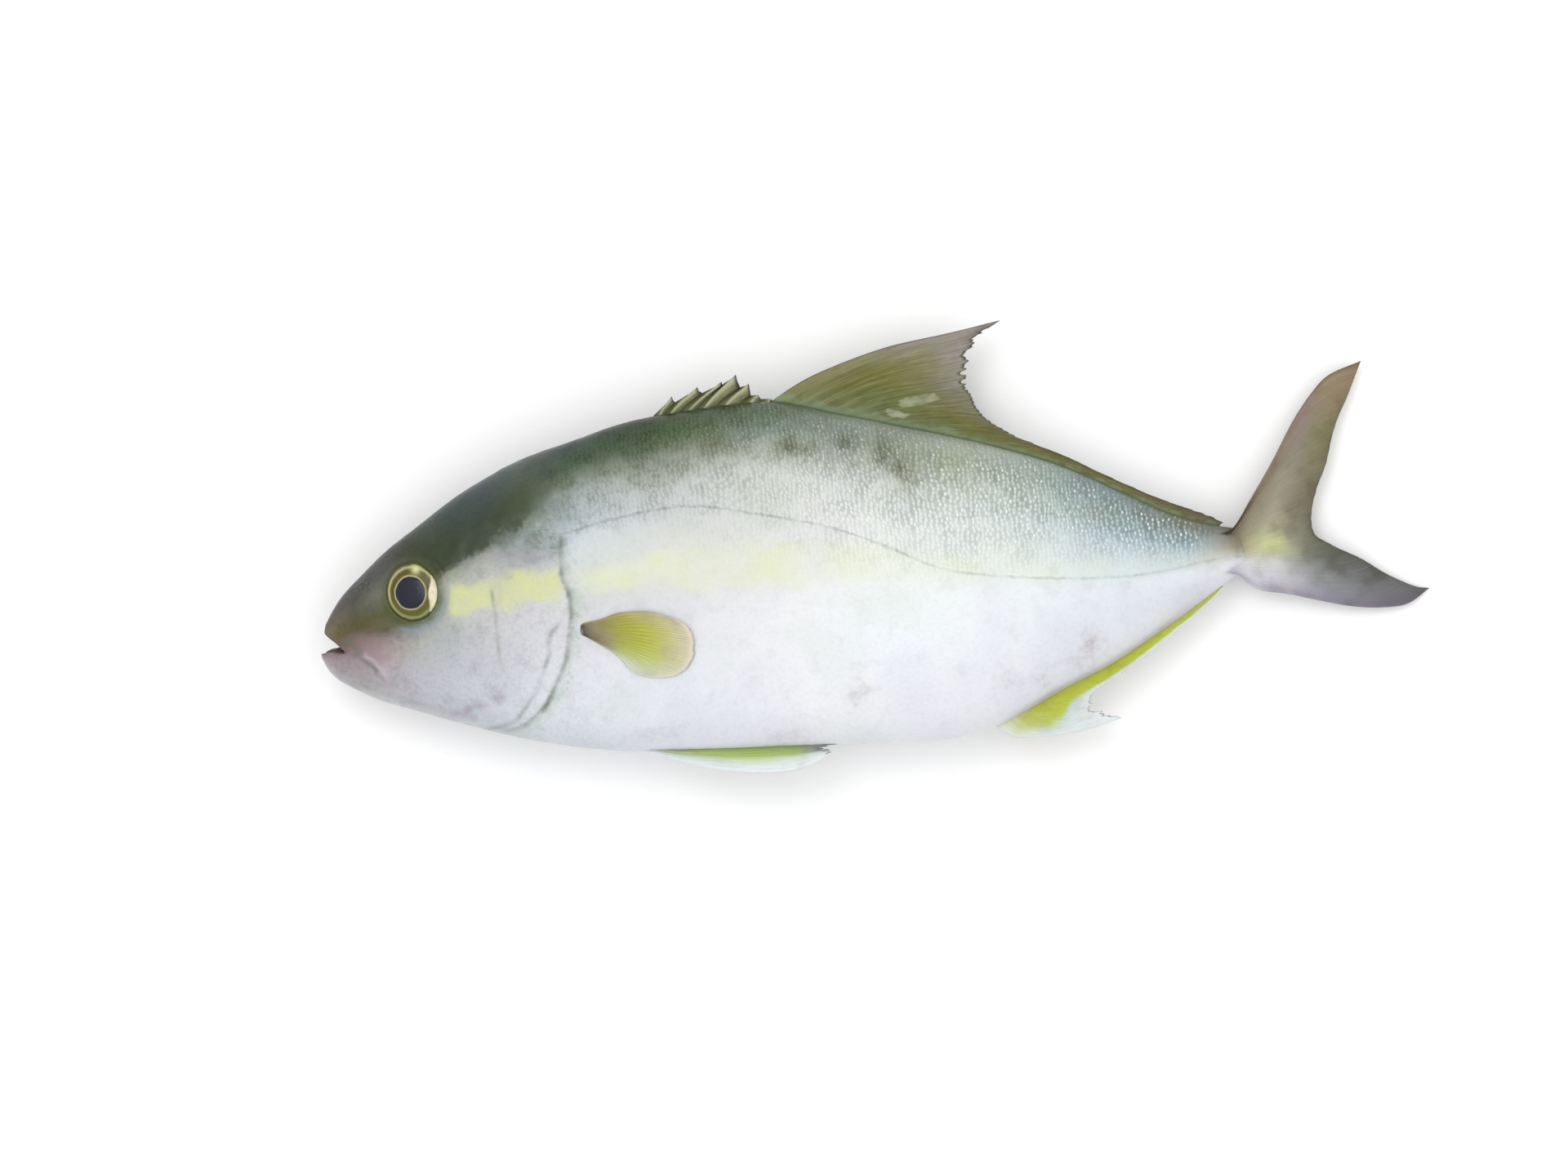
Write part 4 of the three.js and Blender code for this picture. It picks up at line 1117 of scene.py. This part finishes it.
def skin_material():
    """Wet fish skin: small silvery scales under clear slime, so it has a soft sheen and no dry patches."""
    material, add, marks = new_material("wet_silver_scaled_skin", SKIN_MARKS)
    along = marks["along"]
    place = add("TexCoord", out="Object")
    coarse, fine, grain = (
        add("TexNoise", place, out="Fac", named={
            "Scale": 1 / (size * MM), "Detail": detail, "Roughness": roughness
        })
        for size, detail, roughness in ((CLOUDS, 4, 0.5), (MOTTLING, 6, 0.6), (GRAIN, 3, 0.7))
    )
    drift = add(
        "Math", add("MapRange", coarse, 0.3, 0.7, -0.02, 0.02), add("MapRange", fine, 0.3, 0.7, -0.014, 0.014)
    )
    colour = bands(add, SKIN_STATIONS, add("Math", marks["up"], drift), along)

    # Large soft clouds of lilac and of pale green, and a fine grey mottling that is strongest on the head
    on_head = add("MapRange", along, 0.33, 0.24)
    mottled = add("Math", overlap(add, on_head, 0.12), 0.1)
    for tint, *shares in (
        ("#eae6f3", add("MapRange", coarse, 0.5, 0.68), 0.4),
        ("#e6efe2", add("MapRange", coarse, 0.48, 0.3), 0.4),
        ("#8f9492", add("MapRange", fine, 0.52, 0.72), mottled),
        ("#8d9290", add("MapRange", grain, 0.45, 0.75), mottled),
    ):
        colour = lay(add, colour, tint, *shares, blend="MULTIPLY")

    # Dark nape, yellow stripe, moss green of the back, jaw plate, gill opening, painted shade in the folds
    # and at the anal fin's root, and stains
    patchy = add("MapRange", fine, 0.3, 0.6, 0.6, 1)
    patchier = overlap(
        add, add("MapRange", fine, 0.38, 0.62, 0.25, 1), add("MapRange", grain, 0.35, 0.6, 0.5, 1)
    )
    broken = add("MapRange", fine, 0.36, 0.6, 0.3, 1)
    for tint, name, *shares in (
        ("#3a4332", "nape", patchy, 0.85),
        ("#dadf98", "stripe", patchy, 0.8),
        ("#e4e9bd", "flank_stripe", patchy, 0.75),
        ("#58704f", "moss", patchier, 0.5),
        ("#5d766c", "vein", patchier, 0.75),
        ("#a28b93", "plate", patchier, 0.42),
        ("#c9bdc6", "plate_shine", 0.5),
        ("#b9bfb2", "plate_rim", patchier, 0.6),
        ("#8d9aa4", "lid", 0.6),
        ("#b9cdbb", "gill", patchier, 0.5),
        # painted shade in the folds, the nostrils and the pits
        ("#6d7868", "crease", broken, 0.65),
        # painted shade along the anal fin's root
        ("#a3a08e", "fin_root", patchy, 0.6),
        ("#b4adae", "stain", patchier, 0.95),
        ("#a79ba2", "cheek_stain", patchy, 0.75),
    ):
        colour = lay(add, colour, tint, marks[name], *shares)
    colour = wrinkled(add, colour, place, coarse, on_head, marks["vein"])
    colour, scale_gap_shade, scale_height = scaled(add, colour, marks, coarse, fine, patchier)
    colour = lay(add, colour, "#999d6c", marks["olive"], patchy, 0.45)
    between_scales = add("MapRange", scale_gap_shade, 0, 1, 0.7, 1)
    bruised = add("MapRange", fine, 0.35, 0.6, 0.5, 1)
    colour = lay(add, colour, "#575d42", marks["bruise"], bruised, between_scales, 0.85)

    # The lateral line: a thin grey thread, broken and faint
    off_line = add("Math", marks["lateral"], operation="ABSOLUTE")
    rearward = add("MapRange", along, 0.9, 0.6, 0.35, 0.6)
    colour = lay(add, colour, "#7f8b88", add("MapRange", off_line, 0.75, 0.2), patchier, rearward)

    # Round the eye the skin darkens to green, and inside the mouth a dark flesh tone is painted as the shade
    # of the open mouth's hollow
    socket = add("MapRange", marks["eye"], EYE_RADIUS + 3.2, EYE_RADIUS + 0.3)
    colour = lay(add, colour, "#4c5230", socket, patchy, 0.8)
    # painted shade inside the open mouth
    colour = lay(add, colour, "#5c4642", marks["deep"])

    height = add("Math", scale_height, overlap(add, fine, 0.5))
    relief = add("Bump", named={"Height": height, "Strength": 0.4, "Distance": RELIEF})
    shader = add("BsdfPrincipled", out="BSDF", named={
        "Base Color": bare_colour(add, colour), "Roughness": add("MapRange", fine, 0.3, 0.7, 0.34, 0.46),
        "IOR": 1.38, "Normal": relief, "Coat Weight": 0.12, "Coat Roughness": 0.2, "Coat IOR": 1.35,
        "Subsurface Weight": 0.06, "Subsurface Radius": (0.002, 0.0015, 0.0012), "Subsurface Scale": 1.0,
    })
    add("OutputMaterial", shader)
    return material


# Eye colours from the pupil's middle (0) to the lids (1), on the upper and on the lower half
UPPER_IRIS = {
    0: "#23243f", 0.49: "#25263f", 0.515: "#4a4454", 0.54: "#c9bfa0", 0.57: "#7e7444", 0.63: "#5c562e",
    0.74: "#5f5932", 0.785: "#8f8962", 0.82: "#b9b38e", 0.855: "#96906a", 0.89: "#5b5b30", 1: "#3f4430",
}
LOWER_IRIS = {
    0: "#23243f", 0.49: "#25263f", 0.515: "#4a4454", 0.54: "#c9bfa0", 0.57: "#77703a", 0.65: "#605d30",
    0.74: "#68673a", 0.8: "#98966a", 0.84: "#83825a", 0.88: "#494d30", 1: "#363c2c",
}
IRIS_REACH = 10.0  # mm from the pupil's middle to the end of those colours
IRIS_GRAIN = 2  # mm


def eye_material():
    """A dead fish's eye: wet clear cornea over a navy pupil and a gold-and-olive iris, so it shines."""
    material, add, marks = new_material("wet_eye_gold_iris", ("radius", "crescent", "glow", "upward"))
    noise = {"Scale": 1 / (IRIS_GRAIN * MM), "Detail": 4}
    grain = add("TexNoise", add("TexCoord", out="Object"), named=noise, out="Fac")
    radius = add("Math", marks["radius"], add("MapRange", grain, 0.3, 0.7, -0.12, 0.12))
    share = add("Math", radius, IRIS_REACH, operation="DIVIDE")
    upper, lower = (add("ValToRGB", share, stops=stops) for stops in (UPPER_IRIS, LOWER_IRIS))
    colour = lay(add, upper, lower, add("MapRange", marks["upward"], 0.0, -0.7))
    worn = add("MapRange", grain, 0.35, 0.55, 0.75, 1)
    colour = lay(add, colour, "#e3dcc0", marks["crescent"], worn)
    # painted glint on the upper iris
    colour = lay(add, colour, "#d3d79c", marks["glow"])
    shader = add("BsdfPrincipled", out="BSDF", named={
        "Base Color": bare_colour(add, colour), "Roughness": 0.28, "IOR": 1.35,
        "Coat Weight": 0.3, "Coat Roughness": 0.05, "Coat IOR": 1.33,
    })
    add("OutputMaterial", shader)
    return material


FIN_MOTTLING, SHEATH_FRAYING = 6.667, 4.167  # mm
STREAKS_ACROSS, STREAKS_ALONG = 110.0, 4.0  # streaks of pigment over the whole fin, and in its height


def fin_material(name, stations, rays, edge, front, streaky, detail=None):
    """Wet fin skin stretched over bony rays: glossy, streaked along the rays and dark at its edges.

    rays is the rays' tint and share, edge the free edge's tint and where it starts, front the front
    edge's tint and share. detail lays more on the colour.
    """
    material, add, marks = new_material(name, ("ray", "out", "ridge"))
    ray, out, ridge = marks["ray"], marks["out"], marks["ridge"]
    place = add("TexCoord", out="Object")
    fine = add("TexNoise", place, named={"Scale": 1 / (FIN_MOTTLING * MM), "Detail": 6}, out="Fac")
    streak_at = add("CombineXYZ", overlap(add, ray, STREAKS_ACROSS), overlap(add, out, STREAKS_ALONG))
    streak = add("TexNoise", streak_at, named={"Scale": 1, "Detail": 4, "Roughness": 0.6}, out="Fac")
    across = add("Math", out, add("MapRange", fine, 0.3, 0.7, -0.04, 0.04))
    sideways = add("Math", ray, add("MapRange", fine, 0.3, 0.7, 0.016, -0.016))
    colour = bands(add, stations, across, sideways)
    colour = lay(add, colour, "#8d8a70", add("MapRange", streak, 0.48, 0.72), streaky, blend="MULTIPLY")
    colour = lay(add, colour, "#f4f2dc", add("MapRange", streak, 0.45, 0.25), 0.4 * streaky)
    colour = lay(add, colour, "#b0aea0", add("MapRange", fine, 0.5, 0.7), 0.25, blend="MULTIPLY")
    colour = lay(add, colour, rays[0], ridge, rays[1], add("MapRange", out, 0.05, 0.2))
    colour = lay(add, colour, edge[0], add("MapRange", out, edge[1], 1.0))
    colour = lay(add, colour, front[0], add("MapRange", ray, 0.014, 0.0), front[1])
    if detail:
        colour = detail(add, colour, place, ray)
    height = add("Math", ridge, overlap(add, streak, 0.7))
    relief = add("Bump", named={"Height": height, "Strength": 0.35, "Distance": RELIEF})
    shader = add("BsdfPrincipled", out="BSDF", named={
        "Base Color": bare_colour(add, colour), "Roughness": 0.42, "IOR": 1.4,
        "Normal": relief, "Coat Weight": 0.1, "Coat Roughness": 0.2, "Coat IOR": 1.35,
        "Subsurface Weight": 0.1, "Subsurface Radius": (0.0015, 0.0012, 0.0008), "Subsurface Scale": 1.0,
    })
    add("OutputMaterial", shader)
    return material


def sheath_and_scars(add, colour, place, ray):
    """The body's pale green skin, which climbs highest at the front of the fin, painted shade in a dark band
    at the fin's root, and pale torn scars.
    """
    stands, scar = (add("Attribute", attribute_name=name, out="Fac") for name in ("stands", "scar"))
    noise = {"Scale": 1 / (SHEATH_FRAYING * MM), "Detail": 5}
    fine = add("TexNoise", place, named=noise, out="Fac")
    torn_edge = add("Math", stands, add("MapRange", fine, 0.3, 0.7, -1.3, 1.3))
    torn_edge = add("Math", torn_edge, add("MapRange", ray, 0.35, 0.75, 0, 2.4))
    colour = lay(add, colour, "#82906e", add("MapRange", torn_edge, SHEATH + 0.8, SHEATH - 1.2), 0.85)
    # a dark green band at the root: painted shade where the fin meets the back
    colour = lay(add, colour, "#57684f", add("MapRange", stands, 1.1, 0.3, 0, 0.8))
    return lay(add, colour, "#a9ae93", scar, add("MapRange", fine, 0.35, 0.6, 0.35, 0.85))


def fold_hollow_shade(add, colour, place, ray):
    """Dark olive laid in the hollows of the folds between cream spines, as painted shade."""
    fold = add("Attribute", attribute_name="fold", out="Fac")
    return lay(add, colour, "#55583e", add("MapRange", fold, 0.3, -0.4, 0, 0.85))


# Fin colours from root (0) to free edge (1), at stations from the front ray to the rear one
SOFT_DORSAL_STATIONS = [
    (0.03, {0: "#7f8a5c", 0.15: "#858458", 0.4: "#8c8a64", 0.6: "#938d82", 0.85: "#a39a96", 1: "#7d7274"}),
    (0.15, {0: "#727c52", 0.12: "#797c54", 0.3: "#6c6b38", 0.5: "#78763f", 0.7: "#85815c",
        0.9: "#9f9a92", 1: "#9a9590"}),
    (0.3, {0: "#7f8a68", 0.12: "#79835c", 0.3: "#6c7548", 0.5: "#6f7344", 0.7: "#74744e",
        0.88: "#8a8878", 1: "#94908a"}),
    (0.5, {0: "#66724f", 0.12: "#6c7757", 0.4: "#6f7750", 0.7: "#72703f", 1: "#6c6a48"}),
    (0.75, {0: "#55604a", 0.3: "#6f6e4a", 0.6: "#7d7a50", 0.85: "#66613f", 1: "#4b4736"}),
    (0.97, {0: "#5a5a4a", 0.4: "#726a50", 0.8: "#6f6450", 1: "#4d473c"}),
]
SPINY_STATIONS = [
    (0, {0: "#5f6e4a", 0.3: "#858a68", 0.7: "#97986f", 0.9: "#7f7e62", 1: "#4a483e"}),
    (0.6, {0: "#5f6e4a", 0.3: "#7f8464", 0.7: "#8f906c", 0.9: "#7a7960", 1: "#4a483e"}),
    (1, {0: "#69744c", 0.4: "#7f8660", 0.8: "#8b8c6a", 1: "#5c5a48"}),
]
ANAL_STATIONS = [
    (0.02, {0: "#e2e6dc", 0.2: "#dfe4da", 0.5: "#dde5ea", 1: "#e8eef4"}),
    (0.1, {0: "#d9dcbc", 0.15: "#c6cb7c", 0.5: "#c4cf70", 0.62: "#cfdcd6", 0.8: "#dfe9ef", 1: "#eef3f7"}),
    (0.2, {0: "#aaa97c", 0.08: "#b7bc58", 0.5: "#bbc64c", 0.6: "#c0cc62", 0.68: "#cdd9de", 1: "#e6edf3"}),
    (0.4, {0: "#a39f80", 0.12: "#b1b64a", 0.5: "#b9c445", 0.7: "#bcc652", 0.8: "#d8dcd6", 1: "#eef0f4"}),
    (0.7, {0: "#9c9a84", 0.2: "#aab04c", 0.5: "#bac640", 0.68: "#bdc85a", 0.78: "#dfe2dc", 1: "#e9ebee"}),
    (0.97, {0: "#a8a898", 0.4: "#b2b86a", 0.65: "#b8bf74", 0.8: "#dcdfd4", 1: "#e4e6e4"}),
]
TAIL_STATIONS = [
    (0.04, {0: "#5b5548", 0.12: "#665f4a", 0.3: "#857b64", 0.5: "#92816f", 0.7: "#937f78",
        0.85: "#97876e", 1: "#8e7b60"}),
    (0.2, {0: "#857c6c", 0.15: "#766f5e", 0.35: "#8e8570", 0.6: "#938c78", 0.75: "#90897a",
        0.9: "#878462", 1: "#7a7358"}),
    (0.4, {0: "#8f8776", 0.25: "#928b78", 0.42: "#a5a084", 0.58: "#a8a58f", 0.78: "#8a8572",
        1: "#6b6652"}),
    (0.52, {0: "#a59f8c", 0.3: "#b0aa90", 0.42: "#bfbf96", 0.52: "#cbd29c", 0.64: "#c6cb92",
        0.78: "#9c9b88", 1: "#5c5c4e"}),
    (0.65, {0: "#dedfe4", 0.3: "#dededf", 0.45: "#d8d8d4", 0.58: "#a9aaa4", 0.78: "#6f726a",
        1: "#54574f"}),
    (0.82, {0: "#e4e5ea", 0.26: "#dedee5", 0.4: "#c4c2cd", 0.55: "#9b9da6", 0.78: "#808286",
        1: "#62625f"}),
    (0.97, {0: "#dddee4", 0.22: "#c9c7d0", 0.36: "#aba6b2", 0.55: "#8c8799", 0.78: "#76727f",
        1: "#626061"}),
]
PECTORAL_STATIONS = [
    (0.03, {0: "#6f644f", 0.1: "#8a7f68", 0.22: "#a0977f", 0.35: "#a39c66", 0.55: "#aba85c",
        0.75: "#c2bf84", 1: "#dfd5c2"}),
    (0.3, {0: "#7d715c", 0.12: "#a2988a", 0.24: "#aea38f", 0.34: "#a9a85c", 0.5: "#b3b54c",
        0.68: "#c2c25e", 0.85: "#d8d2a6", 1: "#e2d8c8"}),
    (0.6, {0: "#857a68", 0.14: "#a69b8c", 0.26: "#aaa184", 0.38: "#b3b860", 0.55: "#bbc457",
        0.75: "#cdd180", 0.9: "#dfdabc", 1: "#e4dccf"}),
    (0.85, {0: "#8f8474", 0.16: "#a0968a", 0.3: "#aaa68c", 0.45: "#c3cc84", 0.62: "#ccd69a",
        0.8: "#dbe0bc", 1: "#e4e2d8"}),
    (0.97, {0: "#8d8275", 0.25: "#a1978b", 0.42: "#c2c5ae", 0.65: "#dbe0d2", 1: "#e4e5e1"}),
]
PELVIC_STATIONS = [
    (0.1, {0: "#e6ebf2", 0.5: "#e9f1f8", 1: "#eef3f9"}),
    (0.25, {0: "#e0e5ea", 0.3: "#d5e2dc", 0.55: "#cfdfb8", 0.85: "#d8e4d8", 1: "#d5dae2"}),
    (0.36, {0: "#d0d4d0", 0.25: "#b6c58c", 0.55: "#a9c264", 0.85: "#a8bd74", 0.95: "#a0a49c",
        1: "#8f8d96"}),
    (0.7, {0: "#b9bdb8", 0.3: "#90a35c", 0.6: "#90a858", 0.85: "#8fa06a", 0.94: "#8d8f96", 1: "#77747e"}),
    (0.97, {0: "#9a9e9c", 0.4: "#7f8f62", 0.8: "#87956c", 0.93: "#8a8c96", 1: "#77747e"}),
]

# ---- The fish -------------------------------------------------------------------------------------

SIDES = (("left", 1), ("right", -1))

make_body(skin_material())
eye_finish = eye_material()
for side_name, side in SIDES:
    make_eye(side_name + "_eye_ball", side_name + "_eye", side, eye_finish)
# The spiny fin's folds get painted shade in their hollows
make_spiny_dorsal(fin_material(
    "olive_spiny_fin_skin", SPINY_STATIONS, rays=("#c6c8a6", 0.85), edge=("#3f3d34", 0.9),
    front=("#3f3d34", 0.9), streaky=0.4, detail=fold_hollow_shade,
))
soft_dorsal_finish = fin_material(
    "olive_soft_fin_skin", SOFT_DORSAL_STATIONS, rays=("#8f8f62", 0.18), edge=("#5d564c", 0.965),
    front=("#5d564c", 0.8), streaky=0.45, detail=sheath_and_scars,
)
make_median_fin(
    "soft_dorsal_sail", "soft_dorsal_fin", soft_dorsal_finish, SOFT_DORSAL, back_y,
    outward=1, rays=31, tears=(0.07, 51, 0.02), seed=52, forward=5,
)
anal_finish = fin_material(
    "yellow_anal_fin_skin", ANAL_STATIONS, rays=("#d0d67c", 0.12), edge=("#b0b2ba", 0.978),
    front=("#d5dae2", 0.3), streaky=0.22,
)
make_median_fin(
    "anal_sail", "anal_fin", anal_finish, ANAL, belly_y,
    outward=-1, rays=20, tears=(0.08, 61, 0.03), seed=62, forward=-4, reach_out=0.836,
)
make_tail(fin_material(
    "dusky_tail_fin_skin", TAIL_STATIONS, rays=("#a49c90", 0.1), edge=("#4a4640", 0.982),
    front=("#4a4640", 0.7), streaky=0.14,
))
pectoral_finish = fin_material(
    "yellow_pectoral_fin_skin", PECTORAL_STATIONS, rays=("#8e8a3c", 0.4), edge=("#e6dccf", 0.93),
    front=("#75674c", 0.7), streaky=0.25,
)
pelvic_finish = fin_material(
    "yellow_pelvic_fin_skin", PELVIC_STATIONS, rays=("#cddab0", 0.2), edge=("#8f8d98", 0.975),
    front=("#8f8d98", 0.0), streaky=0.4,
)
for side_name, side in SIDES:
    make_pectoral(side_name + "_pectoral_fan", side_name + "_pectoral_fin", side, pectoral_finish)
for side_name, side in SIDES:
    make_pelvic(side_name + "_pelvic_fan", side_name + "_pelvic_fin", side, pelvic_finish)

# ---- Table, light and camera ----------------------------------------------------------------------

LENS, SENSOR = 240, 36  # a long lens from high up, so that nothing is drawn out of shape
WORLD_LIGHT, LAMP_WATTS = 1.15, 4
VIEW_WIDTH = 549  # mm of the fish's middle plane that the camera takes in
VIEW_CENTRE = (0.509, 0.0157)  # in shares of the body's length and depth
ROLL = math.radians(-6)  # so that the tail rises to the right


def make_table():
    bm = bmesh.new()
    bmesh.ops.create_grid(bm, x_segments=1, y_segments=1, size=4)
    bmesh.ops.translate(bm, verts=bm.verts, vec=(0, 0, -0.2 * MM))
    mesh = bpy.data.meshes.new("table")
    bm.to_mesh(mesh)
    bm.free()
    table = bpy.data.objects.new("table", mesh)
    bpy.context.scene.collection.objects.link(table)
    material, add, _ = new_material("matt_white_table")
    shader = add("BsdfPrincipled", out="BSDF", named={"Base Color": "#f8f8f8", "Roughness": 0.9})
    add("OutputMaterial", shader)
    mesh.materials.append(material)


def make_light(name, size, watts, place, turn):
    light = bpy.data.lights.new(name, "AREA")
    light.shape = "DISK"
    light.size = size
    light.energy = watts
    lamp = bpy.data.objects.new(name, light)
    lamp.location = place
    lamp.rotation_euler = turn
    bpy.context.scene.collection.objects.link(lamp)


def make_studio():
    """Soft light from all round and a wide lamp overhead."""
    world = bpy.data.worlds.new("pale_studio")
    world.use_nodes = True
    world.node_tree.nodes["Background"].inputs["Color"].default_value = (1, 1, 1, 1)
    world.node_tree.nodes["Background"].inputs["Strength"].default_value = WORLD_LIGHT
    bpy.context.scene.world = world
    make_light("overhead_softbox", 0.8, LAMP_WATTS, (-0.5, 0.7, 1.5), (-0.44, -0.32, 0))


def make_camera():
    data = bpy.data.cameras.new("overhead_camera")
    data.lens = LENS
    data.sensor_width = SENSOR
    camera = bpy.data.objects.new("overhead_camera", data)
    away = VIEW_WIDTH * LENS / SENSOR
    centre = ORIGIN + (VIEW_CENTRE[0] * LENGTH, VIEW_CENTRE[1] * DEPTH, LIE_HEIGHT + away)
    camera.location = [c * MM for c in centre]
    camera.rotation_euler = (0, 0, ROLL)
    bpy.context.scene.collection.objects.link(camera)
    bpy.context.scene.camera = camera


make_table()
make_studio()
make_camera()
bpy.context.scene.view_settings.view_transform = "Standard"
